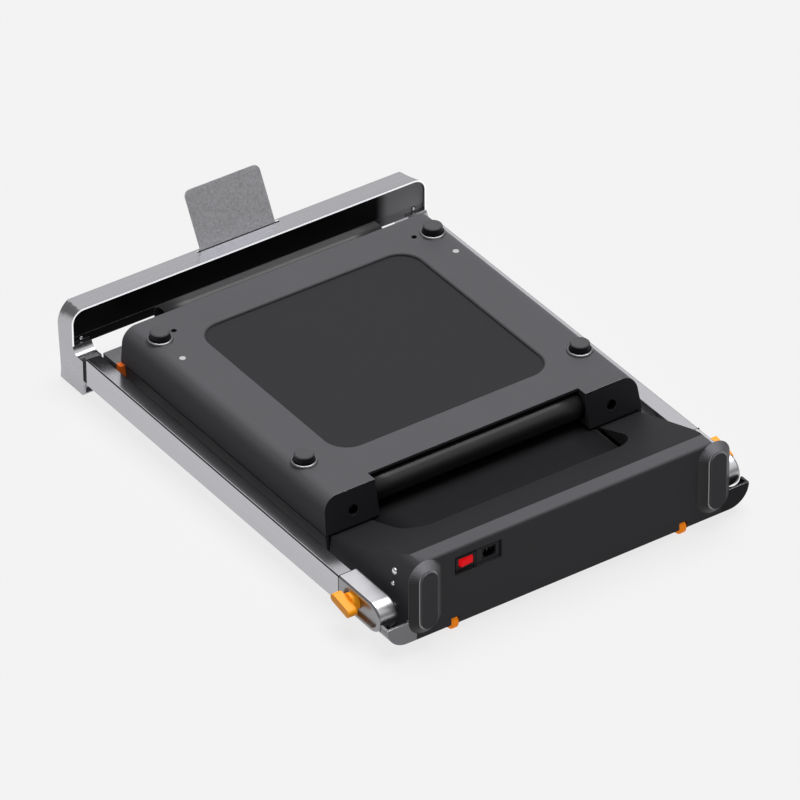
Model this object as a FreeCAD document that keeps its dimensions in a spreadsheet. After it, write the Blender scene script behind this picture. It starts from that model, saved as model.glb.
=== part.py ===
import FreeCAD, Part
import os
import re

import Sketcher

# A double-folding walking pad, folded: the rear half lies upside down on the front half
# and the handrail lies flat around both. +Z is up, +Y runs from the motor end to the fold
# end, +X is to the right when looking along +Y. Lengths are in millimetres.

doc = FreeCAD.newDocument("walking_pad")
sheet = doc.addObject("Spreadsheet::Sheet", "sizes")

# Driving dimensions: name, value, what it measures
DRIVING = (
    ("overrun", 10, "how far a cutting solid runs past what it cuts"),
    ("running_gap", 0.05, "radial clearance of a pin in its bore"),
    ("slip_gap", 0.3, "space between a belt and what it runs on"),
    ("fit_gap", 0.4, "space round a piece that drops into a pocket"),
    ("swing_gap", 3, "space round a piece that swings past another"),
    # deck halves
    ("foot_height", 17, "floor to the underside of the lower half"),
    ("half_thickness", 64, "one half, underside to fold plane"),
    ("fold_gap", 2, "space between the folded halves"),
    ("deck_width", 632, "over the skirts"),
    ("skirt_flare", 5, "how far each skirt leans out, underside to fold plane"),
    ("edge_round", 28, "long rounded edge of the underside"),
    ("shell_wall", 5, "moulded shell thickness"),
    ("hinge_y", 366, "fold axis"),
    ("hinge_set_out", 6, "fold end of both halves to the round hinge ears"),
    ("rear_length", 574, "rear shell"),
    ("front_spare", 33, "front pan longer than the rear shell"),
    ("rail_depth", 12, "foot rail, top to bottom"),
    ("rail_clear", 4, "belt edge to foot rail"),
    ("rail_inset", 0.5, "foot rail to skirt"),
    ("deck_thick", 14, "deck board"),
    ("deck_edge", 0.5, "deck board edge to foot rail"),
    ("frame_width", 26, "frame beam across"),
    ("frame_end", 5, "frame beam end to the fold end"),
    ("frame_wall", 2.5, "beam and crossbeam tube"),
    ("cross_width", 40, "crossbeam along the deck"),
    ("cross_clear", 6.3, "crossbeam to the return run of the belt"),
    # belt and rollers
    ("belt_margin", 15, "belt edge to the drive pulley"),
    ("belt_thick", 2, "walking belt"),
    ("belt_sink", 2, "foot rail top to belt surface"),
    ("return_gap", 7.4, "shell floor to the return run of the belt"),
    ("roller_spare", 2, "roller end past the belt edge"),
    ("roller_axle_radius", 8, "both axles"),
    ("rear_roller_inset", 7, "end of the rear shell to its roller axis"),
    ("roller_cover", 32, "front edge of the belt mouth to the front roller axis"),
    ("wrap_reach", 44, "fold end to the outside of the folded belt"),
    ("wrap_bulge", 8, "folded belt outside its return runs"),
    ("wrap_neck", 14, "fold end to the start of the bulge"),
    ("wrap_round", 18, "bend of the folded belt"),
    # feet and small things on the underside
    ("foot_inset", 40, "skirt to foot centre"),
    ("foot_far_inset", 60, "fold end to the far feet of both halves"),
    ("foot_near_inset", 87, "end of the rear shell to its near feet"),
    ("front_foot_inset", 27, "end of the front pan to its near feet"),
    ("foot_radius", 17, "rubber foot"),
    ("foot_chamfer", 2, "foot edge"),
    ("collar_wall", 6, "raised ring round a foot"),
    ("collar_height", 4, "raised ring round a foot"),
    ("plug_set_back", 68, "far foot to pale plug"),
    ("plug_radius", 5.5, "pale plug"),
    ("plug_proud", 0.5, "pale plug above the shell"),
    ("vent_side", 33, "far foot to the small hole beside it, across"),
    ("vent_ahead", 8, "far foot to the small hole beside it, along"),
    ("vent_radius", 5, "small hole beside each far foot"),
    ("recess_border", 102, "skirt to the sunk field of the underside"),
    ("recess_near_border", 74, "end of the rear shell to the sunk field"),
    ("recess_far_border", 73, "fold end to the sunk field"),
    ("recess_round", 42, "sunk field corner"),
    ("recess_lap", 10, "sunk panel under the shell"),
    ("recess_thick", 4, "sunk panel"),
    # rear end caps
    ("cap_lap", 10, "end cap over the belt edge"),
    ("cap_reach", 20, "end cap at the underside"),
    ("cap_slant", 14, "further reach of the end cap at the fold plane"),
    ("cap_pocket", 3, "axle end to its pocket"),
    ("bolt_inset", 58, "skirt to belt adjuster bolt"),
    ("bolt_radius", 3, "belt adjuster shank"),
    ("bolt_head_radius", 5, "belt adjuster head"),
    ("bolt_head", 6, "belt adjuster head length"),
    ("bolt_reach", 34, "belt adjuster shank length"),
    ("access_gap", 1, "belt adjuster head to its hole in the end cap"),
    ("axle_spare", 10, "rear axle past its bolt"),
    # fold hinge
    ("hinge_radius", 15, "round ears"),
    ("hinge_pin_radius", 5, "fold pin"),
    ("hinge_clear", 7, "foot rail edge to hinge block"),
    ("hinge_proud", 10, "hinge block past the skirt"),
    ("ear_width", 14, "each round ear"),
    ("leaf_width", 10, "stop leaf between the ears"),
    ("ear_gap", 1, "side clearance of each ear"),
    ("hinge_floor_gap", 18, "round ears to the bottom of their slot"),
    ("hinge_rise", 30, "rear ear arm above the fold axis"),
    ("hinge_plate", 4, "rear hinge end plate"),
    ("latch_length", 12, "orange fold latch cap along the deck"),
    ("latch_height", 26, "orange fold latch cap"),
    ("latch_proud", 9, "orange fold latch cap from the skirt"),
    ("latch_round", 3, "orange fold latch cap, edge"),
    # motor housing
    ("cover_wall", 3, "motor cover thickness"),
    ("base_z", 14, "lower edge of the motor cover"),
    ("cover_gap", 4, "end of the front pan to the motor cover"),
    ("cover_length", 236, "motor cover along the deck"),
    ("cover_height", 150, "front face"),
    ("nose_round", 6, "front top edge"),
    ("cover_round", 30, "upper side edge at the front"),
    ("strip_length", 38, "top strip along the deck"),
    ("strip_drop", 9, "fall of the top strip"),
    ("cover_spread", 2, "lower edge of the cover past the skirt"),
    ("cover_lean", 23, "how far each side of the cover leans in"),
    ("mouth_clear", 8, "belt edge to the side of the belt mouth"),
    ("mouth_set_back", 124, "front face to the belt mouth"),
    ("mouth_round", 48, "corner of the belt mouth"),
    ("mouth_lift", 1.6, "belt surface to the lower edge of the mouth wall"),
    ("plate_thick", 6, "base plate under the housing"),
    ("base_inset", 8, "front face to base plate, and the depth of the wings' toes"),
    ("wing_wall", 4, "wall of a base wing"),
    ("wing_toe", 15, "toe of a base wing across the cover's front corner"),
    # upright storage pads
    ("boss_inset", 8, "top edge of the cover to pad centre"),
    ("boss_clear", 8, "lower edge of the cover to boss"),
    ("boss_foot_radius", 32, "boss at the front face"),
    ("pad_radius", 16, "rubber pad"),
    ("pad_rim", 1, "boss rim round the pad"),
    ("boss_depth", 11, "boss from the front face"),
    ("pad_thick", 3, "rubber pad"),
    # switch and inlet
    ("panel_inset", 105, "pad centre to the middle of the switch panel"),
    ("panel_drop", 36.5, "top of the front face to the middle of the switch panel"),
    ("panel_width", 88, "window in the cover"),
    ("panel_height", 31, "window in the cover"),
    ("panel_lap", 4, "panel behind the cover"),
    ("panel_thick", 3, "panel"),
    ("rocker_side", 22.5, "middle of the panel to rocker"),
    ("rocker_width", 25, "rocker"),
    ("rocker_height", 13, "rocker"),
    ("rocker_proud", 2.5, "rocker in front of the panel"),
    ("rocker_back", 4, "rocker pivot to its back face"),
    ("rocker_tilt", 6, "rocker lean at rest, degrees"),
    ("rocker_pin_radius", 1.5, "rocker trunnion"),
    ("rocker_clear", 1.4, "rocker to its well"),
    ("well_depth", 16, "switch body behind the panel"),
    ("well_wall", 2, "switch body"),
    ("inlet_side", 23, "middle of the panel to inlet"),
    ("inlet_width", 23, "inlet socket"),
    ("inlet_height", 15, "inlet socket"),
    ("inlet_depth", 17, "inlet socket"),
    ("inlet_chamfer", 4, "lower corners of the inlet socket"),
    ("prong_width", 2, "inlet prong"),
    ("prong_height", 5, "inlet prong"),
    ("prong_length", 10, "inlet prong"),
    ("prong_pitch", 7, "between inlet prongs"),
    # transport wheels
    ("wheel_inset", 91, "lower edge of the cover to wheel centre"),
    ("wheel_set_in", 4, "front edge of the base plate to wheel centre"),
    ("wheel_radius", 13, "wheel"),
    ("wheel_width", 14, "wheel"),
    ("wheel_axle_radius", 3, "wheel axle"),
    ("fork_gap", 1, "wheel to fork"),
    ("fork_wall", 5, "fork cheek"),
    ("fork_back", 9, "wheel to the back of its slot"),
    # drive
    ("motor_front_gap", 14, "motor to the front wall of the cover"),
    ("motor_top_gap", 7, "motor to the top strip of the cover"),
    ("motor_radius", 30, "motor can"),
    ("motor_gap", 18, "motor to its pulley"),
    ("motor_length", 150, "motor can"),
    ("motor_shaft_radius", 5, "motor shaft"),
    ("pulley_gap", 6, "pulleys to frame beam"),
    ("pulley_width", 16, "both pulleys"),
    ("pulley_step", 1, "roller down to its pulley"),
    ("motor_pulley_radius", 13, "motor pulley"),
    ("drive_thick", 2.5, "ribbed drive belt"),
    ("cradle_width", 24, "motor cradle"),
    ("board_side", 32, "middle of the switch panel to control board"),
    ("board_width", 120, "control board"),
    ("board_height", 60, "control board"),
    ("board_rise", 56, "lower edge of the cover to the middle of the control board"),
    ("board_thick", 2, "control board"),
    ("board_stand", 6, "control board stand-off"),
    ("chip_width", 26, "heat sink on the board"),
    ("chip_depth", 10, "heat sink on the board"),
    # handrail
    ("arm_clear", 4, "hinge block to arm"),
    ("arm_width", 30, "arm tube across"),
    ("arm_height", 54, "arm tube"),
    ("arm_wall", 3, "arm tube"),
    ("arm_round", 3, "arm tube corner"),
    ("pivot_inset", 50, "front face to handrail pivot"),
    ("block_clear", 4, "cover to pivot block"),
    ("block_spare", 0.5, "pivot block above and below the arm"),
    ("block_end", 38, "lock knob to the end of the pivot block"),
    ("pivot_pin_radius", 7, "handrail pivot pin"),
    ("pivot_pin_reach", 24, "pin into the pivot block"),
    ("bracket_inset", 5, "top edge of the cover to the pivot bracket"),
    ("bracket_width", 10, "pivot bracket"),
    ("bracket_length", 46, "pivot bracket along the deck"),
    ("bracket_rise", 26, "pivot bracket above the pin"),
    ("track_length", 51, "handrail pivot to lock knob"),
    ("track_gap", 3, "lock knob to the wall of its sunk track"),
    ("dish_depth", 6, "sunk track of the pivot block"),
    ("knob_radius", 16, "lock knob disc"),
    ("knob_disc", 12, "lock knob disc thickness"),
    ("knob_lift", 0.5, "lock knob above its track"),
    ("knob_bar_length", 54, "lock knob bar"),
    ("knob_bar_height", 15, "lock knob bar"),
    ("knob_bar_width", 17, "lock knob bar thickness"),
    ("knob_stem_radius", 4, "lock knob stem"),
    ("knob_stem_reach", 16, "lock knob stem into the block"),
    ("knob_angle", 12, "lock knob bar from the arm line, degrees"),
    ("spacer_length", 11, "arm to the leg of the crossbar"),
    ("spacer_inset", 2, "seam spacer inside the arm outline"),
    ("leg_lead", 31, "near face of the lower leg to the near rim of the band"),
    ("band_depth", 48, "crossbar band, near rim to far rim"),
    ("band_rise", 70, "arm top to the near rim of the band"),
    ("band_drop", 7, "far rim below the near rim"),
    ("band_wall", 3, "band wall"),
    ("band_round", 26, "band corner at the near rim"),
    ("band_far_round", 48, "band corner at the far rim"),
    ("leg_taper", 10, "far rim of the band to the far face of the lower leg"),
    ("leg_width", 38, "lower leg across"),
    ("leg_over", 3, "arm top to the top of the lower leg"),
    ("shelf_drop", 14, "top of the lower leg to the foot of its hollow curve"),
    ("leg_bottom", 3, "lower end of the leg"),
    ("leg_hollow", 18, "hollow curve of the leg"),
    ("leg_flare", 2, "foot of the leg beyond its outer face"),
    ("flare_rise", 26, "height of that flare"),
    ("flare_wall", 2, "wall round the hollow in the foot of the leg"),
    ("flare_mouth", 24, "hollow in the foot of the leg, inwards from the outer face"),
    ("flare_high", 13, "hollow in the foot of the leg"),
    ("flare_deep", 10, "hollow in the foot of the leg"),
    ("panel_set_back", 5, "rim to crossbar inner panel"),
    ("panel_wall", 4, "crossbar inner panel"),
    ("ledge_rise", 12, "top of the lower leg to the ledge of the inner panel"),
    ("panel_step", 3, "depth of that ledge"),
    ("skirt_drop", 8, "lower edge of the panel below the top of the legs"),
    ("console_wall", 4, "console cover"),
    ("console_inset", 3, "far rim to console cover"),
    ("display_width", 180, "display window"),
    ("display_height", 22, "display window"),
    ("display_thick", 1.5, "display window"),
    # phone plate
    ("phone_angle", 28, "phone plate from upright, degrees"),
    ("phone_inset", 8.18, "far rim to the middle of the plate"),
    ("phone_width", 152, "phone plate"),
    ("phone_out", 105, "phone plate above the band top"),
    ("phone_in", 18, "phone plate inside the crossbar"),
    ("phone_thick", 2, "phone plate"),
    ("phone_round", 12, "phone plate corner"),
    ("slot_play", 6.5, "plate edge to the end of its slot"),
    ("slot_clear", 0.5, "plate to slot"),
    ("slot_front", 2.5, "plate to the near edge of its slot"),
    # screws
    ("screw_radius", 4, "screw head"),
    ("screw_head", 2.5, "screw head"),
    ("side_screw_inset", 62, "front face to the screws on the side of the cover"),
    ("side_screw_rise", 9, "fold plane to the lower of those screws"),
    ("side_screw_pitch", 23, "between those screws"),
    ("bar_screw_inset", 16, "inner face of the leg to the screw of the crossbar panel"),
)

# Derived dimensions, worked out in the sheet itself
DERIVED = (
    ("deck_half", "deck_width / 2"),
    ("fold_plane", "foot_height + half_thickness"),
    ("lower_top", "fold_plane - fold_gap / 2"),
    ("far_y", "hinge_y - hinge_radius - hinge_set_out"),
    ("rear_near_y", "far_y - rear_length"),
    ("front_near_y", "rear_near_y - front_spare"),
    ("pan_floor", "foot_height + shell_wall"),
    # across the deck, from the skirt inwards
    ("frame_outer", "deck_half - skirt_flare - edge_round"),
    ("frame_x", "frame_outer - frame_width"),
    ("pulley_x", "frame_x - pulley_gap - pulley_width"),
    ("belt_width", "2 * (pulley_x - belt_margin)"),
    ("belt_half", "belt_width / 2"),
    ("rail_x", "belt_half + rail_clear"),
    # from the foot rail top down
    ("rail_low", "lower_top - rail_depth"),
    ("belt_top", "lower_top - belt_sink"),
    ("belt_low", "belt_top - belt_thick"),
    ("deck_top", "belt_low - slip_gap"),
    ("deck_low", "deck_top - deck_thick"),
    ("return_top", "pan_floor + return_gap + belt_thick"),
    ("roller_radius", "(deck_top - slip_gap - return_top) / 2"),
    ("roller_z", "deck_top - roller_radius"),
    ("belt_in_radius", "roller_radius + slip_gap"),
    ("belt_out_radius", "belt_in_radius + belt_thick"),
    ("cross_depth", "deck_low - return_top - cross_clear"),
    ("rear_roller_y", "rear_near_y + rear_roller_inset"),
    # feet and small things on the underside
    ("foot_x", "deck_half - foot_inset"),
    ("foot_far_y", "far_y - foot_far_inset"),
    ("foot_near_y", "rear_near_y + foot_near_inset"),
    ("front_foot_near_y", "front_near_y + front_foot_inset"),
    ("collar_radius", "foot_radius + collar_wall"),
    ("plug_x", "foot_x"),
    ("plug_y", "foot_far_y - plug_set_back"),
    ("vent_x", "foot_x - vent_side"),
    ("vent_y", "foot_far_y + vent_ahead"),
    ("recess_width", "deck_width - 2 * recess_border"),
    ("recess_half", "recess_width / 2"),
    ("recess_near_y", "rear_near_y + recess_near_border"),
    ("recess_far_y", "far_y - recess_far_border"),
    # rear end caps
    ("notch_width", "belt_width - 2 * cap_lap"),
    ("notch_half", "notch_width / 2"),
    ("cap_top_y", "rear_near_y - cap_reach"),
    ("cap_low_y", "cap_top_y - cap_slant"),
    ("bolt_x", "deck_half - bolt_inset"),
    ("bolt_access_radius", "bolt_head_radius + access_gap"),
    # fold hinge
    ("hinge_inner_x", "rail_x + hinge_clear"),
    ("hinge_outer_x", "deck_half + hinge_proud"),
    ("hinge_far_y", "hinge_y + hinge_radius + swing_gap"),
    ("hinge_slot_floor", "fold_plane - hinge_radius - hinge_floor_gap"),
    ("ear_x", "hinge_inner_x + ear_width"),
    ("leaf_x", "ear_x + ear_gap"),
    ("rear_ear_x", "leaf_x + leaf_width + ear_gap"),
    ("last_ear_x", "rear_ear_x + ear_width + ear_gap"),
    # motor housing
    ("slope_y", "front_near_y - cover_gap"),
    ("slope_z", "lower_top"),
    ("front_y", "slope_y - cover_length"),
    ("nose_z", "base_z + cover_height"),
    ("strip_y", "front_y + strip_length"),
    ("strip_z", "nose_z - strip_drop"),
    ("cover_low_width", "deck_width + 2 * cover_spread"),
    ("cover_top_width", "cover_low_width - 2 * cover_lean"),
    ("mouth_width", "belt_width + 2 * mouth_clear"),
    ("mouth_y", "front_y + mouth_set_back"),
    ("front_roller_y", "mouth_y - roller_cover"),
    ("base_front_y", "front_y + base_inset"),
    ("boss_x", "cover_top_width / 2 - boss_inset"),
    ("boss_reach", "(cover_height - boss_clear) / 2 - boss_foot_radius"),
    ("boss_z", "nose_z - boss_reach - boss_foot_radius"),
    ("boss_top_y", "front_y - boss_depth"),
    ("panel_x", "panel_inset - boss_x"),
    ("panel_y", "front_y + cover_wall"),
    ("panel_z", "nose_z - panel_drop"),
    ("rocker_x", "panel_x - rocker_side"),
    ("rocker_y", "panel_y + panel_thick + rocker_back"),
    ("inlet_x", "panel_x + inlet_side"),
    ("wheel_x", "cover_low_width / 2 - wheel_inset"),
    ("wheel_y", "base_front_y + wheel_set_in"),
    ("fork_back_y", "wheel_y + wheel_radius + fork_back"),
    # drive
    ("motor_x", "pulley_x - motor_gap - motor_length"),
    ("motor_y", "panel_y + motor_front_gap + motor_radius"),
    ("motor_z", "strip_z - cover_wall - motor_top_gap - motor_radius"),
    ("roller_pulley_radius", "roller_radius - pulley_step"),
    ("board_x", "panel_x + board_side"),
    ("board_z", "base_z + board_rise"),
    # handrail
    ("arm_inner_x", "hinge_outer_x + arm_clear"),
    ("rail_outer_x", "arm_inner_x + arm_width"),
    ("arm_half", "arm_height / 2"),
    ("arm_z", "fold_plane - arm_half"),
    ("arm_far_y", "hinge_far_y"),
    ("block_inner_x", "cover_low_width / 2 + block_clear"),
    ("block_radius", "arm_half + block_spare"),
    ("pivot_y", "front_y + pivot_inset"),
    ("knob_y", "pivot_y + track_length"),
    ("seam_y", "knob_y + block_end"),
    ("bracket_x", "cover_top_width / 2 - bracket_inset"),
    ("dish_radius", "knob_radius + track_gap"),
    ("track_x", "rail_outer_x - dish_depth"),
    ("leg_inner_x", "rail_outer_x - leg_width"),
    ("leg_near_y", "arm_far_y + spacer_length"),
    ("band_near_y", "leg_near_y + leg_lead"),
    ("band_far_y", "band_near_y + band_depth"),
    ("leg_far_low_y", "band_far_y - leg_taper"),
    ("band_top", "fold_plane + band_rise"),
    ("leg_step", "fold_plane + leg_over"),
    ("leg_shelf", "leg_step - shelf_drop"),
    ("panel_ledge", "leg_step + ledge_rise"),
    ("panel_front_y", "band_near_y + panel_set_back"),
    ("console_y", "band_far_y - console_inset"),
    ("phone_y", "band_far_y - phone_inset"),
    ("phone_z", "band_top - band_drop * (phone_y - band_near_y) / band_depth"),
    ("slot_width", "phone_width + 2 * slot_play"),
    # screws
    ("side_screw_y", "front_y + side_screw_inset"),
    ("side_screw_low_z", "fold_plane + side_screw_rise"),
    ("side_screw_high_z", "side_screw_low_z + side_screw_pitch"),
    ("bar_screw_x", "leg_inner_x + bar_screw_inset"),
)

BEAM_SHARES = (0.12, 0.5, 0.88)
CRADLE_SHARES = (0.2, 0.8)
SIDES = (("left", -1), ("right", 1))


def fill_sheet():
    for row, (alias, value, note) in enumerate(DRIVING, 1):
        sheet.set(f"A{row}", note)
        sheet.set(f"B{row}", str(value))
        sheet.setAlias(f"B{row}", alias)
    for row, (alias, formula) in enumerate(DERIVED, len(DRIVING) + 1):
        sheet.set(f"A{row}", "derived")
        sheet.set(f"B{row}", "=" + formula)
        sheet.setAlias(f"B{row}", alias)
    doc.recompute()


fill_sheet()
ALIASES = {row[0] for row in DRIVING + DERIVED}
AXES = {"x": FreeCAD.Vector(1, 0, 0), "y": FreeCAD.Vector(0, 1, 0), "z": FreeCAD.Vector(0, 0, 1)}
nodes = []
sets = {}


# An expression that reads the sheet, from a formula in the sheet's own words
def tied(text):
    return re.sub(r"[a-z_]+", lambda word: "sizes." * (word.group() in ALIASES) + word.group(), text)


def tie(thing, **formulas):
    for prop, text in formulas.items():
        thing.setExpression(prop.replace("__", "."), tied(text))
    return thing


def amount(text):
    return float(sheet.evalExpression(text))


# The formula for the other side of the fold plane
def over(text):
    return f"2 * fold_plane - ({text})"


def level(span, flipped):
    return (over(span[1]), over(span[0])) if flipped else span


# A span of x on the left or right side
def beside(sign, low, high):
    return (low, high) if sign > 0 else (f"-({high})", f"-({low})")


def signed(sign, text):
    return text if sign > 0 else f"-({text})"


def centred(middle, width):
    return (f"{middle} - ({width}) / 2", f"{middle} + ({width}) / 2")


def block(name, x, y, z):
    box = doc.addObject("Part::Box", name)
    for prop, place, span in zip(("Length", "Width", "Height"), "xyz", (x, y, z)):
        box.setExpression(prop, tied(f"({span[1]}) - ({span[0]})"))
        box.setExpression(f"Placement.Base.{place}", tied(span[0]))
    return box


# Turns a Z-long primitive to lie along an axis and binds its place
def laid(thing, axis, start, at):
    thing.Placement.Rotation = FreeCAD.Rotation(AXES["z"], AXES[axis])
    places = dict(zip([a for a in "xyz" if a != axis], at))
    places[axis] = start
    for place, text in places.items():
        thing.setExpression(f"Placement.Base.{place}", tied(text))
    return thing


def rod(name, axis, radius, span, at):
    thing = doc.addObject("Part::Cylinder", name)
    tie(thing, Radius=radius, Height=f"({span[1]}) - ({span[0]})")
    return laid(thing, axis, span[0], at)


def taper(name, axis, radii, span, at):
    thing = doc.addObject("Part::Cone", name)
    tie(thing, Radius1=radii[0], Radius2=radii[1], Height=f"({span[1]}) - ({span[0]})")
    return laid(thing, axis, span[0], at)


# A straight rectangular tube along X or Y
def tube(name, axis, wall, x, y, z):
    spans = dict(zip("xyz", (x, y, z)))
    inner = []
    for place, (low, high) in spans.items():
        inset = "-overrun" if place == axis else wall
        inner.append((f"({low}) + ({inset})", f"({high}) - ({inset})"))
    return cut(name, block(f"{name}_outside", x, y, z), block(f"{name}_inside", *inner))


PLANES = {"x": "YZ_Plane", "y": "XZ_Plane", "z": "XY_Plane"}


def origin_plane(body, role):
    return next(f for f in body.Origin.OriginFeatures if f.Role == role)


def draw_outline(sketch, corners):
    points = [FreeCAD.Vector(amount(u), amount(v), 0) for u, v in corners]
    count = len(points)
    for i, point in enumerate(points):
        sketch.addGeometry(Part.LineSegment(point, points[(i + 1) % count]), False)
    for i in range(count):
        sketch.addConstraint(Sketcher.Constraint("Coincident", i, 2, (i + 1) % count, 1))
    for i, corner in enumerate(corners):
        for kind, text, value in zip(("DistanceX", "DistanceY"), corner, (points[i].x, points[i].y)):
            number = sketch.addConstraint(Sketcher.Constraint(kind, -1, 1, i, 1, value))
            sketch.setExpression(f"Constraints[{number}]", tied(text))


# Rounds the long edges of a prism that stand on the given corners of its sketch
def round_corners(body, sketch, rounds, axis):
    for radius, corners in rounds.items():
        base = body.Tip
        places = [sketch.Placement.multVec(sketch.Geometry[i].StartPoint) for i in corners]
        names = []
        for number, edge in enumerate(base.Shape.Edges, 1):
            if len(edge.Vertexes) != 2 or not isinstance(edge.Curve, Part.Line):
                continue
            if abs(edge.Curve.Direction.dot(AXES[axis])) < 1 - Part.Precision.confusion():
                continue
            near = [(edge.Vertexes[0].Point - place).cross(AXES[axis]).Length for place in places]
            if min(near) < Part.Precision.confusion() * len(base.Shape.Edges):
                names.append(f"Edge{number}")
        fillet = body.newObject("PartDesign::Fillet", f"{body.Name}_round")
        fillet.Base = (base, names)
        tie(fillet, Radius=radius)
        doc.recompute()


# A straight prism along an axis from a closed outline; corners listed in rounds are rounded
def prism(name, axis, corners, span, rounds=None):
    body = doc.addObject("PartDesign::Body", name)
    sketch = body.newObject("Sketcher::SketchObject", f"{name}_outline")
    sketch.AttachmentSupport = [(origin_plane(body, PLANES[axis]), "")]
    sketch.MapMode = "FlatFace"
    draw_outline(sketch, corners)
    pad = body.newObject("PartDesign::Pad", f"{name}_pad")
    pad.Profile = sketch
    tie(pad, Length=f"({span[1]}) - ({span[0]})")
    # the XZ plane looks along -Y, so its pad is turned round
    pad.Reversed = axis == "y"
    tie(sketch, AttachmentOffset__Base__z=f"-({span[0]})" if axis == "y" else span[0])
    doc.recompute()
    round_corners(body, sketch, rounds or {}, axis)
    return body


def rectangle(u, v):
    return [(u[0], v[0]), (u[1], v[0]), (u[1], v[1]), (u[0], v[1])]


def fuse(name, *things):
    thing = doc.addObject("Part::MultiFuse", name)
    thing.Shapes = list(things)
    thing.Refine = True
    return thing


def cut(name, base, *tools):
    thing = doc.addObject("Part::Cut", name)
    thing.Base = base
    thing.Tool = tools[0] if len(tools) == 1 else fuse(f"{name}_cutter", *tools)
    return thing


def common(name, one, other):
    thing = doc.addObject("Part::MultiCommon", name)
    thing.Shapes = [one, other]
    return thing


def group(name, things):
    thing = doc.addObject("Part::Compound", name)
    thing.Links = things
    return thing


# A bar with round ends between two centres on a line along Y or Z, thick along another axis
def stadium(name, thick_axis, radius, span, ends, at, along):
    rods = []
    for end, centre in zip(("low", "high"), ends):
        place = {along: centre}
        place[next(a for a in "xyz" if a not in (thick_axis, along))] = at
        spots = [place[a] for a in "xyz" if a != thick_axis]
        rods.append(rod(f"{name}_{end}", thick_axis, radius, span, spots))
    across = (f"({at}) - ({radius})", f"({at}) + ({radius})")
    spans = {thick_axis: span, along: ends}
    middle = block(f"{name}_middle", *[spans.get(a, across) for a in "xyz"])
    return fuse(name, middle, *rods)


def node(name, thing):
    thing.Label = name
    nodes.append(thing)
    return thing


# One of several alike pieces that share a node
def one_of(name, thing):
    sets.setdefault(name, []).append(thing)
    return thing


# The shell of a half: a shallow tray with long rounded edges, open at the fold plane
def half_tray(name, flipped, near):
    def corner(half, z):
        return half, over(z) if flipped else z

    def tray(label, inset, span, low, high, bend):
        foot = f"deck_half - skirt_flare - ({inset})"
        rim = f"deck_half - ({inset})"
        corners = [corner(f"-({rim})", high), corner(f"-({foot})", low), corner(foot, low),
                   corner(rim, high)]
        return prism(label, "y", corners, span, {bend: [1, 2]})

    outer = tray(f"{name}_outer", "0", (near, "far_y"), "foot_height", "lower_top", "edge_round")
    inside = tray(f"{name}_inside", "shell_wall", (f"{near} - overrun", "far_y + overrun"), "pan_floor",
                  "lower_top + overrun", "edge_round - shell_wall")
    return outer, inside


def foot_places(near):
    return [(sign, y) for y in ("foot_far_y", near) for _, sign in SIDES]


def feet(name, flipped, near):
    things = []
    for i, (sign, y) in enumerate(foot_places(near)):
        at = (signed(sign, "foot_x"), y)
        stem = rod(f"{name}_stem_{i}", "z", "foot_radius", level(("foot_chamfer", "foot_height"), flipped),
                   at)
        radii = ("foot_radius - foot_chamfer", "foot_radius")
        if flipped:
            radii = radii[::-1]
        tip = taper(f"{name}_tip_{i}", "z", radii, level(("0", "foot_chamfer"), flipped), at)
        things.append(fuse(f"{name}_{i}", stem, tip))
    return node(name, group(name, things))


# Belt round a roller: an upper run to the fold, a half wrap, and a return run
def belt_run(name, flipped, roller_y):
    z = over("roller_z") if flipped else "roller_z"
    width = ("-belt_half", "belt_half")
    at = (roller_y, z)
    ring = cut(f"{name}_ring", rod(f"{name}_ring_out", "x", "belt_out_radius", width, at),
               rod(f"{name}_ring_in", "x", "belt_in_radius",
                   ("-belt_half - overrun", "belt_half + overrun"), at),
               block(f"{name}_half", ("-belt_half - overrun", "belt_half + overrun"),
                     (roller_y, f"{roller_y} + belt_out_radius + overrun"),
                     (f"{z} - belt_out_radius - overrun", f"{z} + belt_out_radius + overrun")))
    walk = block(f"{name}_walk", width, (roller_y, "hinge_y - slip_gap"),
                 level(("belt_low", "belt_top"), flipped))
    low = "return_top - belt_thick"
    back = block(f"{name}_back", width, (roller_y, "far_y"), level((low, f"{low} + belt_thick"), flipped))
    return node(name, fuse(name, ring, walk, back))


def roller(name, flipped, roller_y, extra=()):
    z = over("roller_z") if flipped else "roller_z"
    end = "belt_half + roller_spare"
    drum = rod(f"{name}_drum", "x", "roller_radius", (f"-({end})", end), (roller_y, z))
    bore = rod(f"{name}_bore", "x", "roller_axle_radius + running_gap",
               (f"-({end}) - overrun", "pulley_x + pulley_width + overrun"), (roller_y, z))
    return node(name, cut(name, fuse(f"{name}_solid", drum, *extra) if extra else drum, bore))


# Deck board, foot rails, frame beams and crossbeams of one half
def half_inside(prefix, flipped, rail_near, deck_near, frame_near):
    node(f"{prefix}_deck", block(f"{prefix}_deck", ("-rail_x + deck_edge", "rail_x - deck_edge"),
                                 (deck_near, "far_y"), level(("deck_low", "deck_top"), flipped)))
    beams = []
    for side, sign in SIDES:
        rim = "deck_half - skirt_flare - shell_wall - rail_inset"
        one_of(f"{prefix}_foot_rails", block(f"{prefix}_foot_rail_{side}", beside(sign, "rail_x", rim),
                                             (rail_near, "far_y"),
                                             level(("rail_low", "lower_top"), flipped)))
        beams.append(tube(f"{prefix}_beam_{side}", "y", "frame_wall",
                          beside(sign, "frame_x", "frame_outer"),
                          (frame_near, "far_y - frame_end"), level(("pan_floor", "rail_low"), flipped)))
    for i, share in enumerate(BEAM_SHARES):
        middle = f"{deck_near} + (far_y - ({deck_near})) * {share}"
        beams.append(tube(f"{prefix}_cross_{i}", "x", "frame_wall", ("-frame_x", "frame_x"),
                          centred(f"({middle})", "cross_width"),
                          level(("deck_low - cross_depth", "deck_low"), flipped)))
    return beams


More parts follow.
